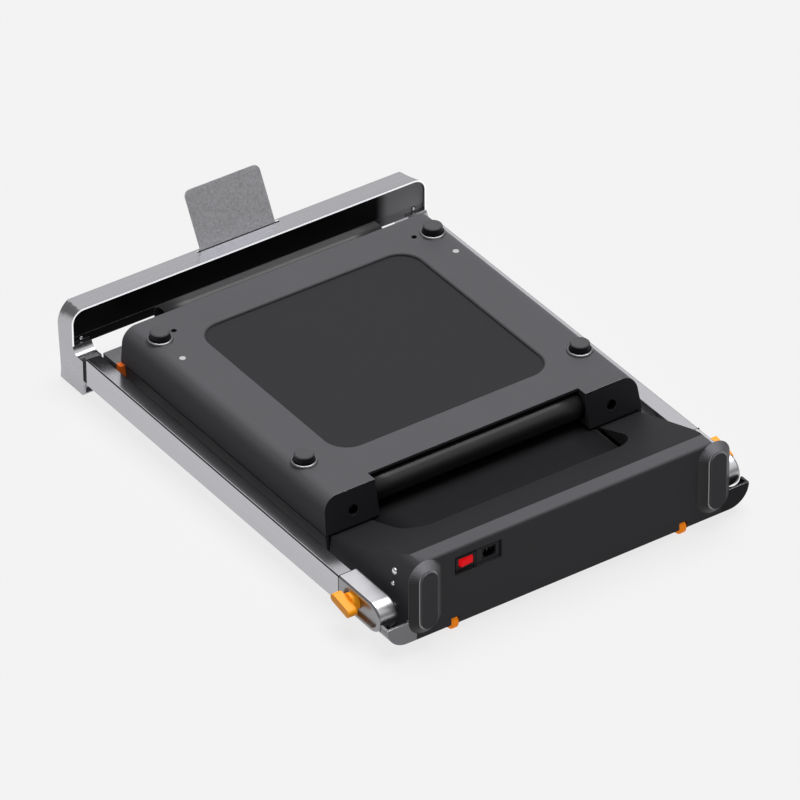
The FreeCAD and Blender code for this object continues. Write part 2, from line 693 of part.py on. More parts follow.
def front_half():
    outer, inside = half_tray("front_tray", False, "front_near_y")
    node("front_pan", cut("front_pan", outer, inside))
    ladder = half_inside("front", False, "front_near_y", "mouth_y", "fork_back_y")
    for i, (side, sign) in enumerate(SIDES):
        eye = rod(f"front_axle_eye_{side}", "x", "roller_axle_radius + running_gap",
                  beside(sign, "frame_x - overrun", "frame_outer + overrun"),
                  ("front_roller_y", "roller_z"))
        ladder[i] = cut(f"front_beam_drilled_{side}", ladder[i], eye)
        ladder.append(block(f"frame_shoe_{side}", beside(sign, "frame_x", "frame_outer"),
                            ("fork_back_y", "front_near_y"), ("base_z", "pan_floor")))
    node("front_frame", group("front_frame", ladder))
    feet("front_feet", False, "front_foot_near_y")
    belt_run("front_belt", False, "front_roller_y")
    pulley = rod("roller_pulley", "x", "roller_pulley_radius", ("belt_half", "pulley_x + pulley_width"),
                 ("front_roller_y", "roller_z"))
    roller("front_roller", False, "front_roller_y", (pulley,))
    node("front_axle", rod("front_axle", "x", "roller_axle_radius",
                           ("-frame_outer", "frame_outer"), ("front_roller_y", "roller_z")))


def rear_half():
    outer, inside = half_tray("rear_tray", True, "rear_near_y")
    plate = level(("foot_height - overrun", "pan_floor + overrun"), True)
    field = prism("recess_window", "z", rectangle(("-recess_half", "recess_half"),
                                                  ("recess_near_y", "recess_far_y")),
                  plate, {"recess_round": [0, 1, 2, 3]})
    holes = []
    for side, sign in SIDES:
        holes.append(rod(f"plug_hole_{side}", "z", "plug_radius", plate,
                         (signed(sign, "plug_x"), "plug_y")))
        holes.append(rod(f"vent_{side}", "z", "vent_radius", plate, (signed(sign, "vent_x"), "vent_y")))
    collars = []
    for i, (sign, y) in enumerate(foot_places("foot_near_y")):
        at = (signed(sign, "foot_x"), y)
        rise = level(("foot_height - collar_height", "foot_height"), True)
        lip = taper(f"collar_lip_{i}", "z", ("collar_radius", "collar_radius - foot_chamfer"), rise, at)
        root = rod(f"collar_root_{i}", "z", "collar_radius",
                   level(("foot_height", "pan_floor + shell_wall"), True), at)
        bore = rod(f"collar_bore_{i}", "z", "foot_radius + fit_gap", level(("0", "foot_height"), True), at)
        collars.append(cut(f"collar_{i}", fuse(f"collar_solid_{i}", lip, root), bore))
    node("rear_shell", cut("rear_shell", fuse("rear_moulding", outer, *collars), inside, field, *holes))
    under = level(("pan_floor", "pan_floor + recess_thick"), True)
    lap = rectangle(("-recess_half - recess_lap", "recess_half + recess_lap"),
                    ("recess_near_y - recess_lap", "recess_far_y + recess_lap"))
    node("rear_sunk_panel", prism("rear_sunk_panel", "z", lap, under,
                                  {"recess_round + recess_lap": [0, 1, 2, 3]}))
    plugs = [rod(f"plug_{side}", "z", "plug_radius", level(("foot_height - plug_proud", "pan_floor"), True),
                 (signed(sign, "plug_x"), "plug_y")) for side, sign in SIDES]
    node("pale_plugs", group("pale_plugs", plugs))
    inside_near = "rear_near_y + belt_out_radius + rail_depth"
    node("rear_frame", group("rear_frame",
                             half_inside("rear", True, "rear_near_y", inside_near, inside_near)))
    feet("rear_feet", True, "foot_near_y")
    belt_run("rear_belt", True, "rear_roller_y")
    roller("rear_roller", True, "rear_roller_y")
    rear_end()


# End caps, axle and belt adjuster bolts at the roller end of the rear half
def rear_end():
    z = over("roller_z")
    axle_end = "bolt_x + axle_spare"
    cap_outline = [("rear_near_y", over("lower_top")), ("rear_near_y", over("foot_height")),
                   ("cap_top_y", over("foot_height")), ("cap_low_y", over("lower_top"))]
    for side, sign in SIDES:
        wedge = prism(f"cap_wedge_{side}", "x", cap_outline, beside(sign, "notch_half", "deck_half"))
        skin = half_tray(f"cap_skin_{side}", True, "cap_low_y - overrun")[0]
        pocket = block(f"cap_pocket_{side}",
                       beside(sign, "notch_half - overrun", f"{axle_end} + cap_pocket"),
                       ("cap_top_y + bolt_head + cap_pocket", "rear_near_y + overrun"),
                       (f"{z} - roller_axle_radius - cap_pocket", f"{z} + roller_axle_radius + cap_pocket"))
        at = (signed(sign, "bolt_x"), z)
        access = rod(f"cap_access_{side}", "y", "bolt_access_radius",
                     ("cap_low_y - overrun", "cap_top_y + bolt_head"), at)
        way = rod(f"cap_bolt_way_{side}", "y", "bolt_radius + running_gap",
                  ("cap_low_y", "rear_near_y + overrun"), at)
        clear = rod(f"cap_belt_clear_{side}", "x", "belt_out_radius + swing_gap",
                    beside(sign, "notch_half - overrun", "belt_half + roller_spare + swing_gap"),
                    ("rear_roller_y", z))
        node(f"rear_end_cap_{side}", cut(f"rear_end_cap_{side}",
                                         common(f"cap_solid_{side}", wedge, skin), pocket, access, way,
                                         clear))
        head = rod(f"bolt_head_{side}", "y", "bolt_head_radius", ("cap_top_y", "cap_top_y + bolt_head"), at)
        shank = rod(f"bolt_shank_{side}", "y", "bolt_radius",
                    ("cap_top_y + bolt_head", "cap_top_y + bolt_head + bolt_reach"), at)
        one_of("tension_bolts", fuse(f"bolt_{side}", head, shank))
    drills = [rod(f"axle_drill_{side}", "y", "bolt_radius + running_gap",
                  ("cap_low_y", "rear_roller_y + overrun"),
                  (signed(sign, "bolt_x"), z)) for side, sign in SIDES]
    bar = rod("rear_axle_bar", "x", "roller_axle_radius", (f"-({axle_end})", axle_end),
              ("rear_roller_y", z))
    node("rear_axle", cut("rear_axle", bar, *drills))


# Return run of the belt where it goes round the outside of the fold
def fold_belt():
    def loop(name, inset, width):
        low = f"roller_z - belt_out_radius + ({inset})"
        deep = f"{low} - wrap_bulge"
        reach = f"far_y + wrap_reach - ({inset})"
        neck = "far_y + wrap_neck"
        corners = [("far_y", low), (neck, deep), (reach, deep), (reach, over(deep)), (neck, over(deep)),
                   ("far_y", over(low))]
        return prism(name, "x", corners, width, {f"wrap_round - ({inset})": [2, 3]})

    outer = loop("fold_belt_outer", "0", ("-belt_half", "belt_half"))
    inner = loop("fold_belt_inner", "belt_thick", ("-belt_half - overrun", "belt_half + overrun"))
    node("fold_belt", cut("fold_belt", outer, inner))


# Fold hinge: blocks on the front half, ears on the rear half, a stop leaf between them
def fold_hinge():
    axis = ("hinge_y", "fold_plane")
    for side, sign in SIDES:
        body = block(f"hinge_body_{side}", beside(sign, "hinge_inner_x", "hinge_outer_x"),
                     ("far_y", "hinge_far_y"),
                     ("foot_height", "fold_plane"))
        spans = {"inner": ("hinge_inner_x", "ear_x"), "outer": ("last_ear_x", "last_ear_x + ear_width")}
        ears = [rod(f"front_ear_{name}_{side}", "x", "hinge_radius", beside(sign, *span), axis)
                for name, span in spans.items()]
        slot = block(f"hinge_slot_{side}", beside(sign, "ear_x", "last_ear_x"),
                     ("far_y - overrun", "hinge_far_y + overrun"),
                     ("hinge_slot_floor", "fold_plane + overrun"))
        hole = rod(f"hinge_hole_{side}", "x", "hinge_pin_radius + running_gap",
                   beside(sign, "hinge_inner_x - overrun", "last_ear_x + ear_width"), axis)
        slotted = cut(f"hinge_slotted_{side}", body, slot)
        one_of("hinge_blocks", cut(f"hinge_block_{side}", fuse(f"hinge_solid_{side}", slotted, *ears),
                                   hole))
        one_of("hinge_pins", rod(f"hinge_pin_{side}", "x", "hinge_pin_radius",
                                      beside(sign, "hinge_inner_x", "last_ear_x + ear_width"), axis))
        disc = rod(f"leaf_disc_{side}", "x", "hinge_radius", beside(sign, "leaf_x", "leaf_x + leaf_width"),
                   axis)
        tongue = block(f"leaf_tongue_{side}", beside(sign, "leaf_x", "leaf_x + leaf_width"),
                       ("hinge_y", "hinge_y + hinge_radius"), ("fold_plane", "fold_plane + hinge_radius"))
        bore = rod(f"leaf_bore_{side}", "x", "hinge_pin_radius + running_gap",
                   beside(sign, "ear_x", "rear_ear_x"), axis)
        one_of("fold_leaves", cut(f"fold_leaf_{side}", fuse(f"leaf_solid_{side}", disc, tongue), bore))
        wide = beside(sign, "rear_ear_x", "rear_ear_x + ear_width")
        ear = rod(f"rear_ear_disc_{side}", "x", "hinge_radius", wide, axis)
        arm = block(f"rear_ear_arm_{side}", wide, ("far_y", "hinge_y"),
                    ("fold_plane", "fold_plane + hinge_rise"))
        fill = half_tray(f"rear_hinge_fill_{side}", True, "rear_near_y")[1]
        sheet_blank = block(f"rear_hinge_blank_{side}", beside(sign, "rail_x", "deck_half"),
                            ("far_y - hinge_plate", "far_y"), level(("pan_floor", "rail_low"), True))
        plate = common(f"rear_hinge_plate_{side}", fill, sheet_blank)
        rear_bore = rod(f"rear_ear_bore_{side}", "x", "hinge_pin_radius + running_gap",
                        beside(sign, "rear_ear_x - overrun", "rear_ear_x + ear_width + overrun"), axis)
        one_of("rear_hinges", cut(f"rear_hinge_{side}", fuse(f"rear_hinge_solid_{side}", ear, arm, plate),
                                  rear_bore))
        outline = rectangle(beside(sign, "deck_half - skirt_flare", "deck_half + latch_proud"),
                            ("far_y - latch_length", "far_y"))
        button = prism(f"latch_cap_blank_{side}", "z", outline, ("fold_plane - latch_height", "fold_plane"),
                       {"latch_round": [0 if sign < 0 else 1]})
        skirt = half_tray(f"latch_skirt_{side}", False, "front_near_y")[0]
        one_of("latch_caps", cut(f"latch_cap_{side}", button, skirt))


FORK_WIDTH = "wheel_width + 2 * fork_gap + 2 * fork_wall"


# Base plate, wings and wheels under the motor housing
def housing_base():
    slots = []
    for side, sign in SIDES:
        slots.append(block(f"wheel_slot_{side}", centred(signed(sign, "wheel_x"), FORK_WIDTH),
                           ("base_front_y - overrun", "fork_back_y"), ("0", "base_z + overrun")))
    plate = block("base_plate_blank", ("-cover_low_width / 2", "cover_low_width / 2"),
                  ("base_front_y", "front_near_y"),
                  ("base_z - plate_thick", "base_z"))
    node("base_plate", cut("base_plate", plate, *slots))
    for side, sign in SIDES:
        middle = signed(sign, "wheel_x")
        at = ("wheel_y", "wheel_radius")
        wide = centred(middle, FORK_WIDTH)
        fork = block(f"wheel_fork_blank_{side}", wide, ("wheel_y - wheel_axle_radius * 2", "fork_back_y"),
                     ("base_z - plate_thick", "wheel_radius * 2 + fork_wall"))
        room = rod(f"wheel_room_{side}", "x", "wheel_radius + fork_gap",
                   centred(middle, "wheel_width + 2 * fork_gap"), at)
        front = block(f"wheel_room_front_{side}", centred(middle, "wheel_width + 2 * fork_gap"),
                      ("wheel_y - wheel_radius - fork_gap", "wheel_y + wheel_radius + fork_gap"),
                      ("0", "wheel_radius"))
        axle = rod(f"wheel_axle_{side}", "x", "wheel_axle_radius", wide, at)
        one_of("wheel_forks", fuse(f"wheel_fork_{side}", cut(f"wheel_cheeks_{side}", fork, room, front),
                                   axle))
        tread = rod(f"wheel_tread_{side}", "x", "wheel_radius", centred(middle, "wheel_width"), at)
        bore = rod(f"wheel_bore_{side}", "x", "wheel_axle_radius + running_gap",
                   centred(middle, "wheel_width * 2"), at)
        node(f"wheel_{side}", cut(f"wheel_{side}", tread, bore))
        wing(side, sign)


# Curved end of the base: a thin scoop under the pivot block, with a toe set in the cover's front corner
def wing(side, sign):
    inner = "cover_low_width / 2"
    bend = f"rail_outer_x - {inner} - swing_gap"
    back = "pivot_y + block_radius"

    def scoop(name, wall, span, top):
        corners = [(inner, f"base_z + {wall}"), (f"rail_outer_x - {wall}", f"base_z + {wall}"),
                   (f"rail_outer_x - {wall}", top), (inner, top)]
        outline = [(signed(sign, u), v) for u, v in corners]
        return prism(f"{name}_{side}", "y", outline, span, {f"{bend} - {wall}": [1]})

    solid = scoop("wing_solid", "0", ("front_y", back), "arm_z")
    hollow = scoop("wing_hollow", "wing_wall", ("front_y + wing_wall", f"{back} + overrun"),
                   "arm_z + overrun")
    wide = beside(sign, "block_inner_x - swing_gap", "rail_outer_x + overrun")
    room = "block_radius + swing_gap"
    cup = rod(f"wing_cup_{side}", "x", room, wide, ("pivot_y", "arm_z"))
    way = block(f"wing_way_{side}", wide, ("pivot_y", f"{back} + overrun"),
                (f"arm_z - ({room})", "arm_z + overrun"))
    scooped = cut(f"wing_scoop_{side}", solid, hollow, cup, way)
    one_of("base_wings", fuse(f"base_wing_{side}", scooped, wing_toe(f"wing_toe_{side}", sign)))


def wing_toe(name, sign):
    inner = "cover_low_width / 2"
    return block(name, beside(sign, f"{inner} - wing_toe", inner), ("front_y", "base_front_y"),
                 ("base_z", "arm_z"))


# Motor cover: sloping wedge with inclined sides, a belt mouth and two storage bosses
def motor_cover():
    def wedge(name, wall, low):
        side = [(f"front_y + {wall}", low), (f"front_y + {wall}", f"nose_z - {wall}"),
                ("strip_y", f"strip_z - {wall}"),
                (f"slope_y - {wall}", f"slope_z - {wall}"), (f"slope_y - {wall}", low)]
        half = f"cover_low_width / 2 - {wall}"
        top = f"cover_top_width / 2 - {wall}"
        section = [(f"-({half})", low), (half, low), (top, f"nose_z - {wall}"),
                   (f"-({top})", f"nose_z - {wall}")]
        long_part = prism(f"{name}_side", "x", side, ("-rail_outer_x", "rail_outer_x"), {"nose_round": [1]})
        cross_part = prism(f"{name}_section", "y", section, ("front_y - overrun", "slope_y + overrun"),
                           {f"cover_round - {wall}": [2, 3]})
        return common(name, long_part, cross_part)

    def mouth(name, wall, z):
        corners = rectangle((f"-mouth_width / 2 - {wall}", f"mouth_width / 2 + {wall}"),
                            (f"mouth_y - {wall}", "slope_y + overrun"))
        return prism(name, "z", corners, z, {f"mouth_round + {wall}": [0, 1]})

    tall = ("base_z - overrun", "nose_z + overrun")
    outer = wedge("cover_outer", "0", "base_z")
    hollow = cut("cover_hollow", wedge("cover_inside", "cover_wall", "base_z - overrun"),
                 mouth("mouth_jamb", "cover_wall", tall))
    opening = mouth("mouth_opening", "0", tall)
    belt_way = block("belt_way", ("-frame_outer - fit_gap", "frame_outer + fit_gap"),
                     ("mouth_y - cover_wall - overrun", "slope_y + overrun"),
                     ("base_z - overrun", "belt_top + mouth_lift"))
    window = block("panel_window", centred("panel_x", "panel_width"),
                   ("front_y - overrun", "panel_y + overrun"),
                   centred("panel_z", "panel_height"))
    wheel_ways = [block(f"cover_wheel_way_{side}",
                        centred(signed(sign, "wheel_x"), "wheel_width + 2 * fork_gap"),
                        ("front_y - overrun", "wheel_y"), ("0", "wheel_radius * 2 + fork_gap"))
                  for side, sign in SIDES]
    pin_ways = [rod(f"pin_way_{side}", "x", "pivot_pin_radius + fit_gap",
                    beside(sign, "bracket_x", "rail_outer_x"),
                    ("pivot_y", "arm_z")) for side, sign in SIDES]
    toe_ways = [wing_toe(f"cover_toe_way_{side}", sign) for side, sign in SIDES]
    shell = cut("cover_shell", outer, hollow, opening, belt_way, window, *wheel_ways, *pin_ways, *toe_ways)
    bosses = []
    for side, sign in SIDES:
        x = signed(sign, "boss_x")
        span = ("boss_top_y", "front_y")
        radii = ("pad_radius + pad_rim", "boss_foot_radius")
        ends = ("boss_z - boss_reach", "boss_z + boss_reach")
        caps = [taper(f"boss_{side}_{i}", "y", radii, span, (x, z)) for i, z in enumerate(ends)]
        flank = [(f"({x}) - ({radii[0]})", span[0]), (f"({x}) + ({radii[0]})", span[0]),
                 (f"({x}) + ({radii[1]})", span[1]), (f"({x}) - ({radii[1]})", span[1])]
        bosses += caps + [prism(f"boss_flank_{side}", "z", flank, ends)]
        one_of("stand_pads", stadium(f"stand_pad_{side}", "y", "pad_radius",
                                     ("boss_top_y - pad_thick", "boss_top_y"),
                                          ends, x, "z"))
    node("motor_cover", fuse("motor_cover", shell, *bosses))
    for side, sign in SIDES:
        for name in ("low", "high"):
            z = f"side_screw_{name}_z"
            lean = "(cover_low_width - cover_top_width) / 2 / (nose_z - base_z)"
            face = f"cover_low_width / 2 - ({z} - base_z) * {lean}"
            head = rod(f"side_screw_{name}_{side}", "x", "screw_radius",
                       beside(sign, f"{face} - cover_wall", f"{face} + screw_head"), ("side_screw_y", z))
            one_of("cover_screws", cut(f"side_screw_head_{name}_{side}", head, outer))


# Switch panel, rocker switch and mains inlet
def switch_panel():
    lap = "2 * panel_lap"
    blank = block("switch_panel_blank", centred("panel_x", f"panel_width + {lap}"),
                  ("panel_y", "panel_y + panel_thick"),
                  centred("panel_z", f"panel_height + {lap}"))
    well_x = centred("rocker_x", "rocker_width + 2 * rocker_clear")
    well_z = centred("panel_z", "rocker_height + 2 * rocker_clear")
    socket_x = centred("inlet_x", "inlet_width + 2 * well_wall")
    socket_z = centred("panel_z", "inlet_height + 2 * well_wall")
    through = ("panel_y - overrun", "panel_y + panel_thick + overrun")
    node("switch_panel", cut("switch_panel", blank, block("rocker_window", well_x, through, well_z),
                             block("inlet_window", socket_x, through, socket_z)))
    behind = ("panel_y + panel_thick", "panel_y + panel_thick + well_depth")
    body = block("switch_body_blank", centred("rocker_x",
                                              "rocker_width + 2 * rocker_clear + 2 * well_wall"), behind,
                 centred("panel_z", "rocker_height + 2 * rocker_clear + 2 * well_wall"))
    well = block("switch_well", well_x, (f"{behind[0]} - overrun", f"{behind[1]} - well_wall"), well_z)
    pin_hole = rod("trunnion_hole", "z", "rocker_pin_radius + running_gap",
                   centred("panel_z", "rocker_height + 2 * rocker_clear + well_wall"),
                   ("rocker_x", "rocker_y"))
    node("switch_body", cut("switch_body", body, well, pin_hole))
    # the rocker is made about its own pivot, then set in place, leaning to its off side
    key = block("rocker_key", ("-rocker_width / 2", "rocker_width / 2"),
                ("-rocker_back - panel_thick - rocker_proud", "rocker_back"),
                ("-rocker_height / 2", "rocker_height / 2"))
    reach = "rocker_height / 2 + rocker_clear + well_wall / 4"
    trunnion = rod("rocker_trunnion", "z", "rocker_pin_radius", (f"-({reach})", reach), ("0", "0"))
    rocker = fuse("rocker", key, trunnion)
    rocker.Placement.Rotation = FreeCAD.Rotation(AXES["z"], amount("rocker_tilt"))
    tie(rocker, Placement__Rotation__Angle="rocker_tilt", Placement__Base__x="rocker_x",
        Placement__Base__y="rocker_y", Placement__Base__z="panel_z")
    node("rocker", rocker)
    socket = block("inlet_blank", socket_x, ("panel_y", "panel_y + inlet_depth + well_wall"), socket_z)
    left, right = centred("inlet_x", "inlet_width")
    low, high = centred("panel_z", "inlet_height")
    mouth = [(left, f"{low} + inlet_chamfer"), (f"{left} + inlet_chamfer", low),
             (f"{right} - inlet_chamfer", low),
             (right, f"{low} + inlet_chamfer"), (right, high), (left, high)]
    cavity = prism("inlet_cavity", "y", mouth, ("panel_y - overrun", "panel_y + inlet_depth"))
    node("mains_inlet", cut("mains_inlet", socket, cavity))
    prongs = [block(f"prong_{i}", centred(f"(inlet_x + prong_pitch * {i})", "prong_width"),
                    ("panel_y + inlet_depth - prong_length", "panel_y + inlet_depth"),
                    centred("panel_z", "prong_height"))
              for i in (-1, 0, 1)]
    node("inlet_prongs", group("inlet_prongs", prongs))


# Motor, pulleys, drive belt and control board under the cover
def drive():
    at = ("motor_y", "motor_z")
    can = rod("motor_can", "x", "motor_radius", ("motor_x", "motor_x + motor_length"), at)
    bore = rod("motor_bore", "x", "motor_shaft_radius + running_gap",
               ("motor_x + motor_length / 2", "motor_x + motor_length + overrun"), at)
    node("drive_motor", cut("drive_motor", can, bore))
    shaft = rod("motor_shaft", "x", "motor_shaft_radius",
                ("motor_x + motor_length / 2", "pulley_x + pulley_width"), at)
    pulley = rod("motor_pulley", "x", "motor_pulley_radius", ("pulley_x", "pulley_x + pulley_width"), at)
    node("motor_rotor", fuse("motor_rotor", shaft, pulley))
    cradles = []
    for i, share in enumerate(CRADLE_SHARES):
        middle = f"(motor_x + motor_length * {share})"
        post = block(f"cradle_post_{i}", centred(middle, "cradle_width"),
                     ("motor_y - motor_radius", "motor_y"),
                     ("base_z", "motor_z"))
        room = rod(f"cradle_room_{i}", "x", "motor_radius", centred(middle, "cradle_width * 2"), at)
        cradles.append(cut(f"cradle_{i}", post, room))
    node("motor_cradle", group("motor_cradle", cradles))
    node("drive_belt", drive_belt())
    y = "panel_y"
    board = block("control_board_plate", centred("board_x", "board_width"),
                  (f"{y} + board_stand", f"{y} + board_stand + board_thick"),
                  centred("board_z", "board_height"))
    sink = block("control_board_sink", centred("board_x", "chip_width"),
                 (f"{y} + board_stand + board_thick", f"{y} + board_stand + board_thick + chip_depth"),
                 centred("board_z", "chip_width"))
    posts = [rod(f"board_post_{i}", "y", "screw_radius", (y, f"{y} + board_stand"),
                 (f"board_x + ({dx}) * (board_width / 2 - screw_radius * 2)",
                  f"board_z + ({dz}) * (board_height / 2 - screw_radius * 2)"))
             for i, (dx, dz) in enumerate(((-1, -1), (1, -1), (1, 1), (-1, 1)))]
    node("control_board", fuse("control_board", board, sink, *posts))


# An open belt round two pulleys of different size, its straight runs on their outer tangents
def drive_belt():
    width = amount("pulley_width")
    start = FreeCAD.Vector(amount("pulley_x"), 0, 0)
    big = FreeCAD.Vector(0, amount("front_roller_y"), amount("roller_z"))
    small = FreeCAD.Vector(0, amount("motor_y"), amount("motor_z"))

    def loop(gap):
        radii = [amount(f"{name}_pulley_radius") + gap for name in ("roller", "motor")]
        line = small - big
        along = FreeCAD.Vector(line).normalize()
        across = along.cross(AXES["x"])
        sine = (radii[0] - radii[1]) / line.Length
        cosine = (1 - sine * sine) ** 0.5
        touch = [[centre + along * (r * sine) + across * (r * cosine * way) for way in (1, -1)]
                 for centre, r in zip((big, small), radii)]
        arcs = [Part.Arc(touch[0][0], big - along * radii[0], touch[0][1]),
                Part.Arc(touch[1][1], small + along * radii[1], touch[1][0])]
        edges = [arcs[0], Part.LineSegment(touch[0][1], touch[1][1]), arcs[1],
                 Part.LineSegment(touch[1][0], touch[0][0])]
        wire = Part.Wire([edge.toShape() for edge in edges])
        wire.translate(start)
        return Part.Face(wire).extrude(AXES["x"] * width)

    gap = amount("slip_gap")
    feature = doc.addObject("Part::Feature", "drive_belt")
    feature.Shape = loop(gap + amount("drive_thick")).cut(loop(gap))
    return feature


# Pivot brackets and pins on the base; arms, pivot blocks and lock knobs of the handrail
def handrail_arms():
    section = [("arm_inner_x", "arm_z - arm_half"), ("rail_outer_x", "arm_z - arm_half"),
               ("rail_outer_x", "arm_z + arm_half"), ("arm_inner_x", "arm_z + arm_half")]
    hollow = [("arm_inner_x + arm_wall", "arm_z - arm_half + arm_wall"),
              ("rail_outer_x - arm_wall", "arm_z - arm_half + arm_wall"),
              ("rail_outer_x - arm_wall", "arm_z + arm_half - arm_wall"),
              ("arm_inner_x + arm_wall", "arm_z + arm_half - arm_wall")]
    pivot = ("pivot_y", "arm_z")
    for side, sign in SIDES:
        solid = prism(f"arm_solid_{side}", "y", [(signed(sign, u), v) for u, v in section],
                      ("seam_y", "arm_far_y"),
                      {"arm_round": [0, 1, 2, 3]})
        bore = prism(f"arm_bore_{side}", "y", [(signed(sign, u), v) for u, v in hollow],
                     ("seam_y - overrun", "arm_far_y + overrun"))
        node(f"arm_{side}", cut(f"arm_{side}", solid, bore))
        inset = "spacer_inset"
        one_of("seam_spacers", block(f"seam_spacer_{side}",
                                          beside(sign, f"arm_inner_x + {inset}", f"rail_outer_x - {inset}"),
                                          ("arm_far_y", "leg_near_y"),
                                          (f"arm_z - arm_half + {inset}", f"arm_z + arm_half - {inset}")))
        pivot_block(side, sign)
        foot = centred("pivot_y", "bracket_length")
        upright = block(f"bracket_blank_{side}", beside(sign, "bracket_x", "bracket_x + bracket_width"),
                        foot,
                        ("base_z", "arm_z + bracket_rise"))
        eye = rod(f"bracket_eye_{side}", "x", "pivot_pin_radius + running_gap",
                  beside(sign, "bracket_x - overrun", "rail_outer_x"), pivot)
        one_of("pivot_brackets", cut(f"pivot_bracket_{side}", upright, eye))
        one_of("pivot_pins", rod(f"pivot_pin_{side}", "x", "pivot_pin_radius",
                                      beside(sign, "bracket_x", "block_inner_x + pivot_pin_reach"), pivot))
        lock_knob(side, sign)


def pivot_block(side, sign):
    wide = beside(sign, "block_inner_x", "rail_outer_x")
    height = ("arm_z - block_radius", "arm_z + block_radius")
    bar = block(f"pivot_bar_{side}", wide, ("pivot_y", "seam_y"), height)
    nose = rod(f"pivot_nose_{side}", "x", "block_radius", wide, ("pivot_y", "arm_z"))
    track = stadium(f"pivot_track_{side}", "x", "dish_radius",
                    beside(sign, "track_x", "rail_outer_x + overrun"),
                    ("pivot_y", "knob_y"), "arm_z", "y")
    eye = rod(f"pivot_eye_{side}", "x", "pivot_pin_radius + running_gap",
              beside(sign, "block_inner_x - overrun", "block_inner_x + pivot_pin_reach + slip_gap"),
              ("pivot_y", "arm_z"))
    stem = rod(f"stem_hole_{side}", "x", "knob_stem_radius + running_gap",
               beside(sign, "track_x - knob_stem_reach - slip_gap", "rail_outer_x"), ("knob_y", "arm_z"))
    node(f"pivot_block_{side}", cut(f"pivot_block_{side}", fuse(f"pivot_solid_{side}", bar, nose), track,
                                    eye, stem))


def lock_knob(side, sign):
    at = ("0", "0")
    seat = "track_x + knob_lift"
    disc = rod(f"knob_disc_{side}", "x", "knob_radius", beside(sign, seat, f"{seat} + knob_disc"), at)
    stem = rod(f"knob_stem_{side}", "x", "knob_stem_radius",
               beside(sign, "track_x - knob_stem_reach", seat), at)
    reach = f"{seat} + knob_disc + knob_bar_width"
    ends = centred("0", "knob_bar_length - knob_bar_height")
    bar = stadium(f"knob_bar_{side}", "x", "knob_bar_height / 2",
                  beside(sign, f"{seat} + knob_disc", reach), ends,
                  "0", "y")
    knob = fuse(f"lock_knob_{side}", disc, stem, bar)
    knob.Placement.Rotation = FreeCAD.Rotation(AXES["x"], amount("knob_angle"))
    tie(knob, Placement__Rotation__Angle="knob_angle", Placement__Base__y="knob_y",
        Placement__Base__z="arm_z")
    node(f"lock_knob_{side}", knob)


# Crossbar: bent band with widened legs, inner panel, console cover, display and phone plate
def crossbar():
    arch = bent_frame("band_arch", "0", "leg_bottom", ("leg_near_y", "band_far_y"))
    deep = ("leg_near_y - overrun", "band_far_y + overrun")
    hall = common("band_hall", bent_frame("band_hall_frame", "band_wall", "leg_step", deep),
                  roof_side("band_hall_side"))
    gap = block("band_gap", ("-leg_inner_x", "leg_inner_x"), deep,
                ("leg_bottom - overrun", "leg_step + overrun"))
    side_view = [("leg_near_y", "leg_bottom"), ("leg_far_low_y", "leg_bottom"),
                 ("band_far_y", "band_top - band_drop"),
                 ("band_near_y", "band_top"), ("band_near_y", "leg_shelf"), ("leg_near_y", "leg_shelf")]
    silhouette = prism("band_side", "x", side_view, ("-rail_outer_x - overrun", "rail_outer_x + overrun"),
                       {"leg_hollow": [4]})
    slot_span = ("-phone_thick / 2 - slot_front", "phone_thick / 2 + slot_clear")
    slot = phone_sheet("phone_slot", "slot_width", slot_span, "phone_in + overrun", "slot_front + overrun",
                       None)
    feet_out, hollows = zip(*[leg_foot(side, sign) for side, sign in SIDES])
    footed = fuse("band_footed", common("band_solid", arch, silhouette), *feet_out)
    node("crossbar_band", cut("crossbar_band", footed, hall, gap, slot, *hollows))
    wide = ("-rail_outer_x", "rail_outer_x")
    back = "panel_front_y + panel_wall"
    low_face = "panel_front_y + panel_step"
    face = [(low_face, "leg_step"), (back + " + panel_step", "leg_step"),
            (back + " + panel_step", "band_top"),
            ("panel_front_y", "band_top"), ("panel_front_y", "panel_ledge"), (low_face, "panel_ledge")]
    console_near = back + " + panel_step"
    trough = [(console_near, "leg_step"), ("console_y", "leg_step"), ("console_y", "band_top"),
              ("console_y - console_wall", "band_top"),
              ("console_y - console_wall", "leg_step + console_wall"),
              (console_near, "leg_step + console_wall")]
    for name, outline in (("crossbar_panel", face), ("console_cover", trough)):
        frame = bent_frame(f"{name}_frame", "band_wall", "leg_step", deep)
        room = common(f"{name}_room", frame, roof_side(f"{name}_side"))
        fitted = common(f"{name}_fitted", prism(f"{name}_blank", "x", outline, wide), room)
        skirted = name == "crossbar_panel"
        node(name, fuse(name, fitted, panel_skirt(low_face, console_near)) if skirted else fitted)
    node("display_window", block("display_window", ("-display_width / 2", "display_width / 2"),
                                 ("console_y", "console_y + display_thick"),
                                 centred("(leg_step + band_top) / 2", "display_height")))
    for side, sign in SIDES:
        one_of("crossbar_screws", rod(f"bar_screw_{side}", "y", "screw_radius",
                                      (f"{low_face} - screw_head", low_face),
                                      (signed(sign, "bar_screw_x"),
                                       "leg_step + screw_radius + screw_head / 2")))
    sheet_span = centred("0", "phone_thick")
    node("phone_plate", phone_sheet("phone_plate", "phone_width", sheet_span, "phone_in", "phone_out",
                                    "phone_round"))


